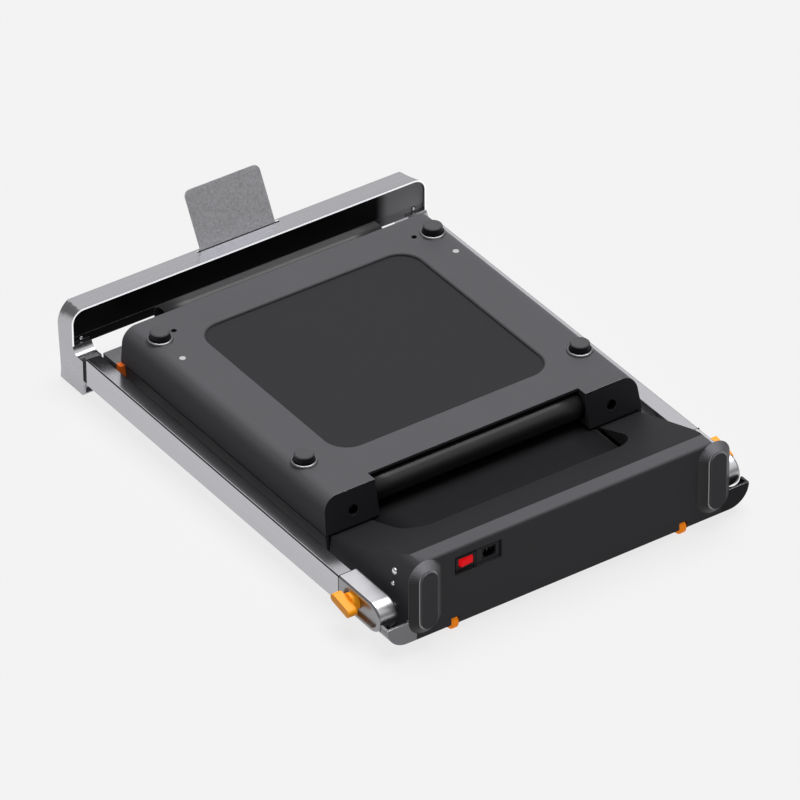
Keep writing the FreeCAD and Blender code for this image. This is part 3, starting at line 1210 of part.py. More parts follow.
# The flared foot of a leg, and the hollow in its near end
def leg_foot(side, sign):
    def drawn(name, corners, span):
        return prism(f"{name}_{side}", "y", [(signed(sign, u), v) for u, v in corners], span)

    out = "rail_outer_x + leg_flare"
    flare = drawn("leg_flare", [("rail_outer_x - flare_wall", "leg_bottom"), (out, "leg_bottom"),
                                ("rail_outer_x", "leg_bottom + flare_rise"),
                                ("rail_outer_x - flare_wall", "leg_bottom + flare_rise")],
                  ("leg_near_y", "leg_far_low_y"))
    low, high = "leg_bottom + flare_wall", "leg_bottom + flare_high"
    inner = "rail_outer_x - flare_mouth"
    lean = "leg_flare * (flare_high / flare_rise)"
    hollow = drawn("leg_hollow", [(inner, low), (f"{out} - 3 * flare_wall", low),
                                  (f"{out} - {lean} - 3 * flare_wall", high), (inner, high)],
                   ("leg_near_y - overrun", "leg_near_y + flare_deep"))
    return flare, hollow


# The lower edge of the inner panel, hanging between the legs
def panel_skirt(near, far):
    return block("panel_skirt", ("-leg_inner_x + fit_gap", "leg_inner_x - fit_gap"), (near, far),
                 ("leg_step - skirt_drop", "leg_step + panel_step"))


# The bent outline of the band, its corners opening out from the near rim to the far rim
def bent_frame(name, wall, low, y):
    box = block(f"{name}_box", (f"-rail_outer_x + {wall}", f"rail_outer_x - {wall}"), y,
                (low, f"band_top - {wall}"))
    doc.recompute()
    growth = "(band_far_round - band_round) / (band_far_y - band_near_y)"
    radii = [amount(f"band_round - {wall} + ({end} - band_near_y) * {growth}") for end in y]
    bends = []
    for number, edge in enumerate(box.Shape.Edges, 1):
        first, last = (edge.valueAt(p) for p in (edge.FirstParameter, edge.LastParameter))
        if abs(first.y - last.y) > 0 and min(first.z, last.z) > amount("leg_step"):
            pair = radii if first.y < last.y else radii[::-1]
            bends.append((number, *pair))
    bent = doc.addObject("Part::Fillet", name)
    bent.Base = box
    bent.Edges = bends
    return bent


# The inside of the band seen from the side, below its sloping top
def roof_side(name):
    fall = "band_drop / (band_far_y - band_near_y)"
    ends = ("leg_near_y - 2 * overrun", "band_far_y + 2 * overrun")
    roof = [f"band_top - band_wall - ({end} - band_near_y) * {fall}" for end in ends]
    corners = [(ends[0], "leg_step"), (ends[1], "leg_step"), (ends[1], roof[1]), (ends[0], roof[0])]
    return prism(name, "x", corners, ("-rail_outer_x", "rail_outer_x"))


# A flat sheet standing in the slot and leaning back from it, drawn upright about the slot's middle
def phone_sheet(name, width, span, down, up, bend):
    corners = rectangle((f"-{width} / 2", f"{width} / 2"), (f"-({down})", up))
    sheet_body = prism(name, "y", corners, span, {bend: [2, 3]} if bend else None)
    sheet_body.Placement.Rotation = FreeCAD.Rotation(-AXES["x"], amount("phone_angle"))
    tie(sheet_body, Placement__Rotation__Angle="phone_angle", Placement__Base__y="phone_y",
        Placement__Base__z="phone_z")
    return sheet_body


def check_and_write():
    for name, things in sets.items():
        node(name, group(name, things))
    doc.recompute()
    for thing in doc.Objects:
        if "Invalid" in thing.State or "Error" in thing.State:
            raise SystemExit(f"{thing.Label} did not build: {thing.State}")
    for thing in nodes:
        if thing.Shape.isNull() or not thing.Shape.isValid() or not thing.Shape.Solids:
            raise SystemExit(f"{thing.Label} has no valid solid")
    os.makedirs("parts", exist_ok=True)
    for thing in nodes:
        thing.Shape.exportStep(os.path.join("parts", f"{thing.Label}.step"))
    print(len(nodes), "nodes written")


front_half()
rear_half()
fold_belt()
fold_hinge()
housing_base()
motor_cover()
switch_panel()
drive()
handrail_arms()
crossbar()
check_and_write()
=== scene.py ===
import math

import bmesh
import bpy
from mathutils import Matrix, Vector


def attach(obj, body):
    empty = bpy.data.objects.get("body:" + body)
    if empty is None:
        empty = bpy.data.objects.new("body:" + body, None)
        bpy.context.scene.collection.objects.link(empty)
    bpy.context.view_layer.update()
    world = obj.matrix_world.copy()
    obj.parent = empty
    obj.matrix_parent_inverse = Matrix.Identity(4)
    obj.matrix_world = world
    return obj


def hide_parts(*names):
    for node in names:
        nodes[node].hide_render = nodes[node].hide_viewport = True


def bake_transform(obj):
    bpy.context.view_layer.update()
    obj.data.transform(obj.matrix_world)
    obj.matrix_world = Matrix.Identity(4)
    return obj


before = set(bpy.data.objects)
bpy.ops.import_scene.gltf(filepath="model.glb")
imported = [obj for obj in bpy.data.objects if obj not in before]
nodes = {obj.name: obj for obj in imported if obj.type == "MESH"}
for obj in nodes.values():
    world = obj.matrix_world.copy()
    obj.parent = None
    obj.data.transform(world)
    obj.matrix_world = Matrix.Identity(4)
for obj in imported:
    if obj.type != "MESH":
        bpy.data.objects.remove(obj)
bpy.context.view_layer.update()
print("frame loaded:", len(nodes), "nodes")


# camera, at the photograph's angle
cameraView = {"azimuth": -34.427, "elevation": 35.0, "roll": -0.35, "distance": 13.9466,
              "target": (0.0070, -0.0063, 0.075), "lens": 378.5, "sensor": 36.0, "farClip": 200}


def placeCamera(view):
    a, e, r = (math.radians(view[key]) for key in ("azimuth", "elevation", "roll"))
    back = Vector((math.sin(a) * math.cos(e), -math.cos(a) * math.cos(e), math.sin(e)))
    right = Vector((math.cos(a), math.sin(a), 0))
    up = back.cross(right)
    rolledRight = right * math.cos(r) + up * math.sin(r)
    rolledUp = back.cross(rolledRight)
    data = bpy.data.cameras.new("viewCamera")
    data.lens = view["lens"]
    data.sensor_width = view["sensor"]
    data.clip_end = view["farClip"]
    camera = bpy.data.objects.new("viewCamera", data)
    bpy.context.scene.collection.objects.link(camera)
    place = Vector(view["target"]) + back * view["distance"]
    turn = Matrix((rolledRight, rolledUp, back)).transposed().to_4x4()
    camera.matrix_world = Matrix.Translation(place) @ turn
    bpy.context.scene.camera = camera


placeCamera(cameraView)


# studio: pale floor, one wide soft lamp above, a plain surround with two soft panels
# shine gives what polished faces see at a height, from below the floor's edge up to overhead
# a softbox has its direction, the cosines where it is full and where it ends, and its level
studio = {"floorHalf": 3.0, "pale": 0.896, "shadowShare": 0.12, "floorForBounce": 0.04,
          "skyForBounce": 0.045, "lampStrength": 3.05, "lampSoftness": 46, "lampTilt": (-9, 12),
          "shine": ((-0.30, 0.50), (-0.10, 0.20), (0.30, 0.21), (0.57, 0.34), (0.75, 0.42), (1.0, 0.40)),
          "softboxes": (((0.463, -0.574, 0.676), 0.965, 0.87, 0.75),
                        ((0.463, 0.76, 0.455), 0.95, 0.86, 0.60))}


def paleFloor(values):
    material = bpy.data.materials.new("paleFloor")
    material.use_nodes = True
    tree = material.node_tree
    link = tree.links.new
    tree.nodes.clear()
    out = tree.nodes.new("ShaderNodeOutputMaterial")
    path = tree.nodes.new("ShaderNodeLightPath")
    glow = tree.nodes.new("ShaderNodeEmission")
    glow.inputs["Color"].default_value = (*[values["pale"]] * 3, 1)
    shaded = tree.nodes.new("ShaderNodeBsdfDiffuse")
    shaded.inputs["Color"].default_value = (*[values["pale"]] * 3, 1)
    dim = tree.nodes.new("ShaderNodeBsdfDiffuse")
    dim.inputs["Color"].default_value = (*[values["floorForBounce"]] * 3, 1)
    seen = tree.nodes.new("ShaderNodeMixShader")
    seen.inputs[0].default_value = values["shadowShare"]
    pick = tree.nodes.new("ShaderNodeMixShader")
    link(glow.outputs[0], seen.inputs[1])
    link(shaded.outputs[0], seen.inputs[2])
    link(path.outputs["Is Diffuse Ray"], pick.inputs[0])
    link(seen.outputs[0], pick.inputs[1])
    link(dim.outputs[0], pick.inputs[2])
    link(pick.outputs[0], out.inputs["Surface"])
    return material


def mixFloat(tree, factor, a, b):
    mix = tree.nodes.new("ShaderNodeMix")
    mix.data_type = "FLOAT"
    for socket, value in (("Factor", factor), ("A", a), ("B", b)):
        if isinstance(value, (int, float)):
            mix.inputs[socket].default_value = value
        else:
            tree.links.new(value, mix.inputs[socket])
    return mix.outputs["Result"]


def makeSurround(values):
    world = bpy.data.worlds.new("studioSurround")
    bpy.context.scene.world = world
    world.use_nodes = True
    tree = world.node_tree
    link = tree.links.new
    tree.nodes.clear()
    out = tree.nodes.new("ShaderNodeOutputWorld")
    sky = tree.nodes.new("ShaderNodeBackground")
    path = tree.nodes.new("ShaderNodeLightPath")
    coords = tree.nodes.new("ShaderNodeTexCoord")
    split = tree.nodes.new("ShaderNodeSeparateXYZ")
    link(coords.outputs["Generated"], split.inputs[0])
    height = tree.nodes.new("ShaderNodeMapRange")
    height.inputs["From Min"].default_value = -1
    link(split.outputs["Z"], height.inputs["Value"])
    shine = tree.nodes.new("ShaderNodeValToRGB")
    stops = shine.color_ramp.elements
    stops.remove(stops[0])
    for number, (z, level) in enumerate(values["shine"]):
        stop = stops[0] if number == 0 else stops.new((z + 1) / 2)
        stop.position = (z + 1) / 2
        stop.color = (level, level, level, 1)
    link(height.outputs[0], shine.inputs[0])
    lit = shine.outputs["Color"]
    for at, inner, outer, level in values["softboxes"]:
        toward = tree.nodes.new("ShaderNodeVectorMath")
        toward.operation = "DOT_PRODUCT"
        toward.inputs[1].default_value = Vector(at).normalized()
        link(coords.outputs["Generated"], toward.inputs[0])
        box = tree.nodes.new("ShaderNodeMapRange")
        box.interpolation_type = "SMOOTHSTEP"
        box.inputs["From Min"].default_value = outer
        box.inputs["From Max"].default_value = inner
        box.inputs["To Max"].default_value = level
        link(toward.outputs["Value"], box.inputs["Value"])
        more = tree.nodes.new("ShaderNodeMath")
        link(lit, more.inputs[0])
        link(box.outputs[0], more.inputs[1])
        lit = more.outputs[0]
    bounced = mixFloat(tree, path.outputs["Is Diffuse Ray"], lit, values["skyForBounce"])
    seen = mixFloat(tree, path.outputs["Is Camera Ray"], bounced, values["pale"])
    link(seen, sky.inputs["Color"])
    link(sky.outputs[0], out.inputs["Surface"])


def makeStudio(values):
    bm = bmesh.new()
    bmesh.ops.create_grid(bm, x_segments=1, y_segments=1, size=values["floorHalf"])
    mesh = bpy.data.meshes.new("floor")
    bm.to_mesh(mesh)
    bm.free()
    floor = bpy.data.objects.new("floor", mesh)
    bpy.context.scene.collection.objects.link(floor)
    mesh.materials.append(paleFloor(values))
    lamp = bpy.data.lights.new("ceilingLamp", "SUN")
    lamp.energy = values["lampStrength"]
    lamp.angle = math.radians(values["lampSoftness"])
    holder = bpy.data.objects.new("ceilingLamp", lamp)
    holder.rotation_euler = [math.radians(turn) for turn in (*values["lampTilt"], 0)]
    bpy.context.scene.collection.objects.link(holder)
    makeSurround(values)


makeStudio(studio)
bpy.context.scene.view_settings.view_transform = "Standard"
print("studio ready")


# patterns shared by the finishes: each group takes a place and gives a height and a mottle
# a noise is its share of the scale, its detail and its roughness
grain = {"mouldFine": (1.0, 2, 0.5), "mouldWide": (0.012, 4, 0.6), "mouldCells": 0.5,
         "brushHairs": (1.0, 6, 0.65), "brushBands": (0.12, 3, 0.55), "brushShare": 0.5,
         "grit": (1.0, 3, 0.7), "gritClumps": (0.3, 2, 0.6), "gritShare": 0.35, "gritRange": (0.35, 0.65),
         "gridWide": (0.5, 4, 0.6), "gridShare": 0.6, "ribWide": (0.1, 4, 0.6)}


def startGroup(name):
    group = bpy.data.node_groups.new(name, "ShaderNodeTree")
    group.interface.new_socket("Vector", in_out="INPUT", socket_type="NodeSocketVector")
    group.interface.new_socket("Scale", in_out="INPUT", socket_type="NodeSocketFloat")
    group.interface.new_socket("Stretch", in_out="INPUT", socket_type="NodeSocketVector")
    group.interface.new_socket("Height", in_out="OUTPUT", socket_type="NodeSocketFloat")
    group.interface.new_socket("Mottle", in_out="OUTPUT", socket_type="NodeSocketFloat")
    inside = group.nodes.new("NodeGroupInput")
    outside = group.nodes.new("NodeGroupOutput")
    sized = group.nodes.new("ShaderNodeVectorMath")
    sized.operation = "MULTIPLY"
    group.links.new(inside.outputs["Vector"], sized.inputs[0])
    group.links.new(inside.outputs["Stretch"], sized.inputs[1])
    return group, inside, outside, sized


def addNoise(group, vector, inside, factor, detail, roughness):
    link = group.links.new
    noise = group.nodes.new("ShaderNodeTexNoise")
    noise.inputs["Detail"].default_value = detail
    noise.inputs["Roughness"].default_value = roughness
    times = group.nodes.new("ShaderNodeMath")
    times.operation = "MULTIPLY"
    times.inputs[1].default_value = factor
    link(inside.outputs["Scale"], times.inputs[0])
    link(times.outputs[0], noise.inputs["Scale"])
    link(vector, noise.inputs["Vector"])
    return noise


def mouldGrain():
    group, inside, outside, sized = startGroup("mouldGrain")
    link = group.links.new
    fine = addNoise(group, sized.outputs[0], inside, *grain["mouldFine"])
    cells = group.nodes.new("ShaderNodeTexVoronoi")
    cells.feature = "SMOOTH_F1"
    link(sized.outputs[0], cells.inputs["Vector"])
    link(inside.outputs["Scale"], cells.inputs["Scale"])
    both = group.nodes.new("ShaderNodeMath")
    both.operation = "MULTIPLY_ADD"
    both.inputs[1].default_value = grain["mouldCells"]
    link(cells.outputs["Distance"], both.inputs[0])
    link(fine.outputs["Fac"], both.inputs[2])
    wide = addNoise(group, sized.outputs[0], inside, *grain["mouldWide"])
    link(both.outputs[0], outside.inputs["Height"])
    link(wide.outputs["Fac"], outside.inputs["Mottle"])
    return group


def brushedGrain():
    group, inside, outside, sized = startGroup("brushedGrain")
    link = group.links.new
    hairs = addNoise(group, sized.outputs[0], inside, *grain["brushHairs"])
    bands = addNoise(group, sized.outputs[0], inside, *grain["brushBands"])
    mixed = group.nodes.new("ShaderNodeMix")
    mixed.data_type = "FLOAT"
    mixed.inputs["Factor"].default_value = grain["brushShare"]
    link(hairs.outputs["Fac"], mixed.inputs["A"])
    link(bands.outputs["Fac"], mixed.inputs["B"])
    link(hairs.outputs["Fac"], outside.inputs["Height"])
    link(mixed.outputs["Result"], outside.inputs["Mottle"])
    return group


def blastedSpeckle():
    group, inside, outside, sized = startGroup("blastedSpeckle")
    link = group.links.new
    grit = addNoise(group, sized.outputs[0], inside, *grain["grit"])
    clumps = addNoise(group, sized.outputs[0], inside, *grain["gritClumps"])
    sharper = group.nodes.new("ShaderNodeMapRange")
    sharper.inputs["From Min"].default_value, sharper.inputs["From Max"].default_value = grain["gritRange"]
    mixed = group.nodes.new("ShaderNodeMix")
    mixed.data_type = "FLOAT"
    mixed.inputs["Factor"].default_value = grain["gritShare"]
    link(grit.outputs["Fac"], mixed.inputs["A"])
    link(clumps.outputs["Fac"], mixed.inputs["B"])
    link(mixed.outputs["Result"], sharper.inputs["Value"])
    link(grit.outputs["Fac"], outside.inputs["Height"])
    link(sharper.outputs[0], outside.inputs["Mottle"])
    return group


def beltGrid():
    group, inside, outside, sized = startGroup("beltGrid")
    link = group.links.new
    waves = []
    for direction in ("X", "Y"):
        wave = group.nodes.new("ShaderNodeTexWave")
        wave.wave_profile = "SIN"
        wave.bands_direction = direction
        link(sized.outputs[0], wave.inputs["Vector"])
        link(inside.outputs["Scale"], wave.inputs["Scale"])
        waves.append(wave)
    dots = group.nodes.new("ShaderNodeMath")
    dots.operation = "MULTIPLY"
    link(waves[0].outputs["Fac"], dots.inputs[0])
    link(waves[1].outputs["Fac"], dots.inputs[1])
    wide = addNoise(group, sized.outputs[0], inside, *grain["gridWide"])
    shade = group.nodes.new("ShaderNodeMix")
    shade.data_type = "FLOAT"
    shade.inputs["Factor"].default_value = grain["gridShare"]
    link(wide.outputs["Fac"], shade.inputs["A"])
    link(dots.outputs[0], shade.inputs["B"])
    link(dots.outputs[0], outside.inputs["Height"])
    link(shade.outputs["Result"], outside.inputs["Mottle"])
    return group


def ribbedTread():
    group, inside, outside, sized = startGroup("ribbedTread")
    link = group.links.new
    wave = group.nodes.new("ShaderNodeTexWave")
    wave.bands_direction = "X"
    wave.wave_profile = "SIN"
    link(sized.outputs[0], wave.inputs["Vector"])
    link(inside.outputs["Scale"], wave.inputs["Scale"])
    wide = addNoise(group, sized.outputs[0], inside, *grain["ribWide"])
    link(wave.outputs["Fac"], outside.inputs["Height"])
    link(wide.outputs["Fac"], outside.inputs["Mottle"])
    return group


patterns = {"mould": mouldGrain(), "brushed": brushedGrain(), "speckle": blastedSpeckle(),
            "grid": beltGrid(), "ribs": ribbedTread()}


# finishes: colour, how far its tone wanders, roughness and its spread, pattern and its size
# fade is where along x another colour starts and ends, a painted reflection; tone an attribute that scales the
# colour, used for painted light and shade; glow paints light into parts that are no lamps
usualFinish = {"wander": 0.10, "spread": 0.06, "pattern": "mould", "scale": 900, "depth": 0.0002}
finishes = {
    "shellGrey": {"color": (0.100, 0.098, 0.107), "roughness": 0.52, "specular": 0.16, "bump": 0.12},
    "housingGrey": {"color": (0.094, 0.093, 0.102), "roughness": 0.5, "specular": 0.16, "bump": 0.12},
    "coverBlack": {"color": (0.0195, 0.0195, 0.0215), "wander": 0.12, "roughness": 0.55, "spread": 0.07,
                   "specular": 0.08, "scale": 850, "bump": 0.14},
    "sunkBlack": {"color": (0.030, 0.0295, 0.032), "roughness": 0.62, "spread": 0.05, "specular": 0.10,
                  "scale": 700, "bump": 0.10},
    "wingGrey": {"color": (0.20, 0.20, 0.21), "roughness": 0.36, "metallic": 0.7, "bump": 0.08},
    # the two edge finishes below paint highlights: a lighter, shinier colour on bevel faces stands for edges
    # catching the light
    "edgeHighlightGrey": {"color": (0.30, 0.297, 0.31), "wander": 0.08, "roughness": 0.36, "spread": 0.05,
                 "metallic": 0.85, "bump": 0.05},
    "edgeHighlightBright": {"color": (0.92, 0.92, 0.93), "wander": 0.05, "roughness": 0.22, "spread": 0.05,
                   "metallic": 0.9, "bump": 0.03, "depth": 0.0001},
    # the right wing's own dark colour, and painted shade on the end caps' front faces and the feet's sides
    "capBlack": {"color": (0.040, 0.0395, 0.045), "roughness": 0.5, "specular": 0.10, "bump": 0.10},
    # near-black that paints the shade in holes, gaps, seams and slots, and is also the rocker frame's own black
    "paintedShadeAndFrameBlack": {"color": (0.006, 0.006, 0.007), "wander": 0.15, "roughness": 0.6, "specular": 0.08,
                 "bump": 0.05, "depth": 0.0001},
    # grey of the motor cover's front, scaled by painted light and shade that follow how each face turns
    "bossPaintedLightGrey": {"color": (0.11, 0.109, 0.118), "wander": 0.08, "roughness": 0.42, "specular": 0.3,
                 "bump": 0.08, "tone": "bossPaintedLight"},
    "padEdgeHighlight": {"color": (0.20, 0.198, 0.212), "roughness": 0.5, "scale": 700, "bump": 0.10},
    "footRubber": {"color": (0.098, 0.097, 0.104), "wander": 0.18, "roughness": 0.6, "spread": 0.08,
                   "specular": 0.15, "scale": 1100, "bump": 0.2, "depth": 0.0003},
    "padRubber": {"color": (0.140, 0.138, 0.150), "wander": 0.15, "roughness": 0.58, "spread": 0.07,
                  "specular": 0.15, "scale": 1100, "bump": 0.16, "depth": 0.0003},
    "walkingBelt": {"color": (0.0150, 0.0148, 0.0165), "wander": 0.42, "roughness": 0.6, "spread": 0.08,
                    "specular": 0.06, "pattern": "grid", "scale": 92, "bump": 0.5, "depth": 0.0004,
                    "uv": "beltRun"},
    "rollBelt": {"color": (0.0270, 0.0270, 0.0290), "wander": 0.30, "roughness": 0.40, "spread": 0.12,
                 "specular": 0.30, "pattern": "grid", "scale": 92, "bump": 0.25, "depth": 0.0003,
                 "uv": "beltRun"},
    "railTread": {"color": (0.05, 0.05, 0.053), "wander": 0.15, "roughness": 0.6, "spread": 0.08,
                  "specular": 0.15, "pattern": "ribs", "scale": 55, "bump": 0.4, "depth": 0.0006},
    "armMetal": {"color": (0.49, 0.49, 0.515), "roughness": 0.17, "metallic": 1.0, "pattern": "brushed",
                 "scale": 420, "stretch": (1, 0.02, 1), "bump": 0.10, "depth": 0.0001},
    # near-black metal on the arms' outer upper corner: a painted dark reflection
    "armDarkReflectionLine": {"color": (0.035, 0.035, 0.038), "roughness": 0.4, "spread": 0.07, "metallic": 1.0,
                "pattern": "brushed", "scale": 420, "stretch": (1, 0.02, 1), "bump": 0.05, "depth": 0.0001},
    # a glowing white line: painted highlight on the band's near rim
    "rimPaintedHighlight": {"color": (0.90, 0.90, 0.92), "wander": 0.04, "roughness": 0.3, "spread": 0.05,
                  "glow": 0.95, "pattern": "speckle", "scale": 300, "bump": 0.02, "depth": 0.0001},
    "bandMetal": {"color": (0.44, 0.44, 0.462), "roughness": 0.26, "spread": 0.08, "metallic": 1.0,
                  "pattern": "brushed", "scale": 420, "stretch": (0.02, 1, 1), "bump": 0.05,
                  "depth": 0.0001},
    "pivotMetal": {"color": (0.52, 0.52, 0.54), "wander": 0.08, "roughness": 0.33, "spread": 0.08,
                   "metallic": 1.0, "pattern": "brushed", "scale": 420, "stretch": (0.04, 1, 1),
                   "bump": 0.04, "depth": 0.0001},
    "pivotFace": {"color": (0.30, 0.30, 0.312), "roughness": 0.30, "spread": 0.08, "metallic": 1.0,
                  "pattern": "brushed", "scale": 420, "stretch": (1, 0.03, 1), "bump": 0.04,
                  "depth": 0.0001},
    "screwSteel": {"color": (0.92, 0.92, 0.92), "wander": 0.06, "roughness": 0.22, "metallic": 1.0,
                   "pattern": "speckle", "scale": 2600, "bump": 0.04, "depth": 0.0001},
    "plainSteel": {"color": (0.55, 0.55, 0.56), "roughness": 0.30, "spread": 0.10, "metallic": 1.0,
                   "pattern": "brushed", "scale": 500, "stretch": (0.05, 1, 1), "bump": 0.05,
                   "depth": 0.0001},
    "hingeMetal": {"color": (0.16, 0.16, 0.168), "wander": 0.12, "roughness": 0.42, "spread": 0.08,
                   "metallic": 0.6, "pattern": "speckle", "scale": 1800, "bump": 0.10},
    "glossBlack": {"color": (0.0045, 0.0045, 0.0055), "wander": 0.20, "roughness": 0.32, "spread": 0.04,
                   "specular": 0.12, "scale": 300, "bump": 0.01, "depth": 0.0001,
                   "paintedReflection": (0.258, 0.288, (0.86, 0.84, 0.88))},
    "smokedWindow": {"color": (0.012, 0.011, 0.013), "wander": 0.15, "roughness": 0.08, "spread": 0.03,
                     "specular": 0.5, "scale": 300, "bump": 0.01, "depth": 0.0001},
    "phoneSheet": {"color": (0.520, 0.517, 0.543), "wander": 0.30, "roughness": 0.5, "spread": 0.10,
                   "metallic": 0.75, "pattern": "speckle", "scale": 620, "bump": 0.22},
    "knobOrange": {"color": (1.0, 0.36, 0.012), "wander": 0.06, "roughness": 0.42, "spread": 0.05,
                   "glow": 0.26, "specular": 0.3, "scale": 1000, "bump": 0.06},
    "latchOrange": {"color": (0.80, 0.15, 0.015), "wander": 0.08, "roughness": 0.5, "glow": 0.12,
                    "specular": 0.25, "scale": 1000, "bump": 0.06},
    "treadOrange": {"color": (1.0, 0.26, 0.01), "glow": 0.5, "wander": 0.08, "roughness": 0.5,
                    "specular": 0.25, "scale": 1000, "bump": 0.10},
    "switchRed": {"color": (0.70, 0.006, 0.010), "wander": 0.05, "roughness": 0.35, "spread": 0.05,
                  "glow": 0.75, "specular": 0.08, "scale": 1000, "bump": 0.02, "depth": 0.0001},
    "plugPale": {"color": (0.58, 0.58, 0.58), "wander": 0.06, "roughness": 0.45, "specular": 0.3,
                 "scale": 1200, "bump": 0.05, "depth": 0.0001},
    "powderBlack": {"color": (0.030, 0.030, 0.032), "wander": 0.12, "roughness": 0.55, "spread": 0.08,
                    "specular": 0.2, "pattern": "speckle", "scale": 1500, "bump": 0.2},
    "pressedBoard": {"color": (0.022, 0.020, 0.019), "wander": 0.3, "roughness": 0.6, "spread": 0.10,
                     "specular": 0.2, "pattern": "speckle", "scale": 260, "bump": 0.2, "depth": 0.0003},
    "motorPaint": {"color": (0.05, 0.05, 0.055), "roughness": 0.4, "specular": 0.3, "pattern": "speckle",
                   "scale": 1500, "bump": 0.08},
    "boardGreen": {"color": (0.03, 0.14, 0.06), "wander": 0.15, "roughness": 0.35, "specular": 0.4,
                   "pattern": "speckle", "bump": 0.05, "depth": 0.0001},
    # the prongs' brass is darkened to paint the shade inside the socket
    "prongBrassInShade": {"color": (0.06, 0.055, 0.05), "wander": 0.08, "roughness": 0.25, "metallic": 1.0,
                   "pattern": "brushed", "scale": 600, "stretch": (1, 0.05, 1), "bump": 0.04,
                   "depth": 0.0001},
}


# the sockets of a mix node that carry colours
colorA, colorB, colorOut = 6, 7, 2


# paints a reflection: along x the colour gives way to another one
def paintedReflectionAcross(tree, place, hue, start, end, color):
    link = tree.links.new
    split = tree.nodes.new("ShaderNodeSeparateXYZ")
    link(place, split.inputs[0])
    share = tree.nodes.new("ShaderNodeMapRange")
    share.interpolation_type = "SMOOTHSTEP"
    share.inputs["From Min"].default_value = start
    share.inputs["From Max"].default_value = end
    link(split.outputs["X"], share.inputs["Value"])
    mixed = tree.nodes.new("ShaderNodeMix")
    mixed.data_type = "RGBA"
    link(share.outputs[0], mixed.inputs["Factor"])
    link(hue, mixed.inputs[colorA])
    mixed.inputs[colorB].default_value = (*color, 1)
    return mixed.outputs[colorOut]


def makeFinish(name, look):
    look = {**usualFinish, **look}
    material = bpy.data.materials.new(name)
    material.use_nodes = True
    tree = material.node_tree
    link = tree.links.new
    shader = tree.nodes["Principled BSDF"]
    shader.inputs["Metallic"].default_value = look.get("metallic", 0.0)
    shader.inputs["Specular IOR Level"].default_value = look.get("specular", 0.5)
    if "uv" in look:
        coords = tree.nodes.new("ShaderNodeUVMap")
        coords.uv_map = look["uv"]
        place = coords.outputs["UV"]
    else:
        coords = tree.nodes.new("ShaderNodeTexCoord")
        place = coords.outputs["Object"]
    pattern = tree.nodes.new("ShaderNodeGroup")
    pattern.node_tree = patterns[look["pattern"]]
    pattern.inputs["Scale"].default_value = look["scale"]
    pattern.inputs["Stretch"].default_value = look.get("stretch", (1, 1, 1))
    link(place, pattern.inputs["Vector"])
    tone = tree.nodes.new("ShaderNodeMix")
    tone.data_type = "RGBA"
    for socket, way in ((colorA, -1), (colorB, 1)):
        shade = [min(1.0, c * (1 + way * look["wander"])) for c in look["color"]]
        tone.inputs[socket].default_value = (*shade, 1)
    link(pattern.outputs["Mottle"], tone.inputs["Factor"])
    hue = tone.outputs[colorOut]
    # an attribute scales the colour, painting light and shade onto the faces that carry it
    if "tone" in look:
        painted = tree.nodes.new("ShaderNodeAttribute")
        painted.attribute_name = look["tone"]
        deeper = tree.nodes.new("ShaderNodeVectorMath")
        deeper.operation = "SCALE"
        link(hue, deeper.inputs[0])
        link(painted.outputs["Fac"], deeper.inputs["Scale"])
        hue = deeper.outputs[0]
    if "paintedReflection" in look:
        hue = paintedReflectionAcross(tree, place, hue, *look["paintedReflection"])
    link(hue, shader.inputs["Base Color"])
    # emission paints light into a part that is no lamp, brightening its colour
    if "glow" in look:
        shader.inputs["Emission Color"].default_value = (*look["color"], 1)
        shader.inputs["Emission Strength"].default_value = look["glow"]
    dull = tree.nodes.new("ShaderNodeMapRange")
    dull.inputs["To Min"].default_value = look["roughness"] - look["spread"]
    dull.inputs["To Max"].default_value = look["roughness"] + look["spread"]
    link(pattern.outputs["Mottle"], dull.inputs["Value"])
    link(dull.outputs[0], shader.inputs["Roughness"])
    bump = tree.nodes.new("ShaderNodeBump")
    bump.inputs["Strength"].default_value = look["bump"]
    bump.inputs["Distance"].default_value = look["depth"]
    link(pattern.outputs["Height"], bump.inputs["Height"])
    link(bump.outputs[0], shader.inputs["Normal"])
    return material


materials = {name: makeFinish(name, look) for name, look in finishes.items()}
print("finishes made:", len(materials))


# which finish each carried-over solid wears
wornBy = {
    "shellGrey": ("rear_shell", "rear_end_cap_left", "rear_end_cap_right", "front_pan"),
    "housingGrey": ("motor_cover", "base_plate", "wheel_forks", "base_wings", "switch_panel"),
    "coverBlack": ("switch_body", "mains_inlet", "console_cover"),
    "sunkBlack": ("rear_sunk_panel",),
    "footRubber": ("rear_feet", "front_feet"),
    "padRubber": ("stand_pads", "seam_spacers", "drive_belt"),
    "walkingBelt": ("front_belt", "rear_belt", "fold_belt"),
    "railTread": ("front_foot_rails", "rear_foot_rails"),
    "armMetal": ("arm_left", "arm_right"),
    "bandMetal": ("crossbar_band",),
    "pivotMetal": ("pivot_block_left", "pivot_block_right"),
    "screwSteel": ("cover_screws", "crossbar_screws"),
    "plainSteel": ("front_roller", "rear_roller", "front_axle", "rear_axle", "hinge_pins", "pivot_pins",
                   "motor_rotor"),
    "hingeMetal": ("hinge_blocks", "fold_leaves", "rear_hinges", "pivot_brackets"),
    "glossBlack": ("crossbar_panel",),
    "smokedWindow": ("display_window",),
    "phoneSheet": ("phone_plate",),
    "knobOrange": ("lock_knob_left", "lock_knob_right"),
    "latchOrange": ("latch_caps",),
    "treadOrange": ("wheel_left", "wheel_right"),
    "switchRed": ("rocker",),
    "plugPale": ("pale_plugs",),
    "powderBlack": ("front_frame", "rear_frame", "motor_cradle", "tension_bolts"),
    "pressedBoard": ("front_deck", "rear_deck"),
    "motorPaint": ("drive_motor",),
    "boardGreen": ("control_board",),
    "prongBrassInShade": ("inlet_prongs",),
}
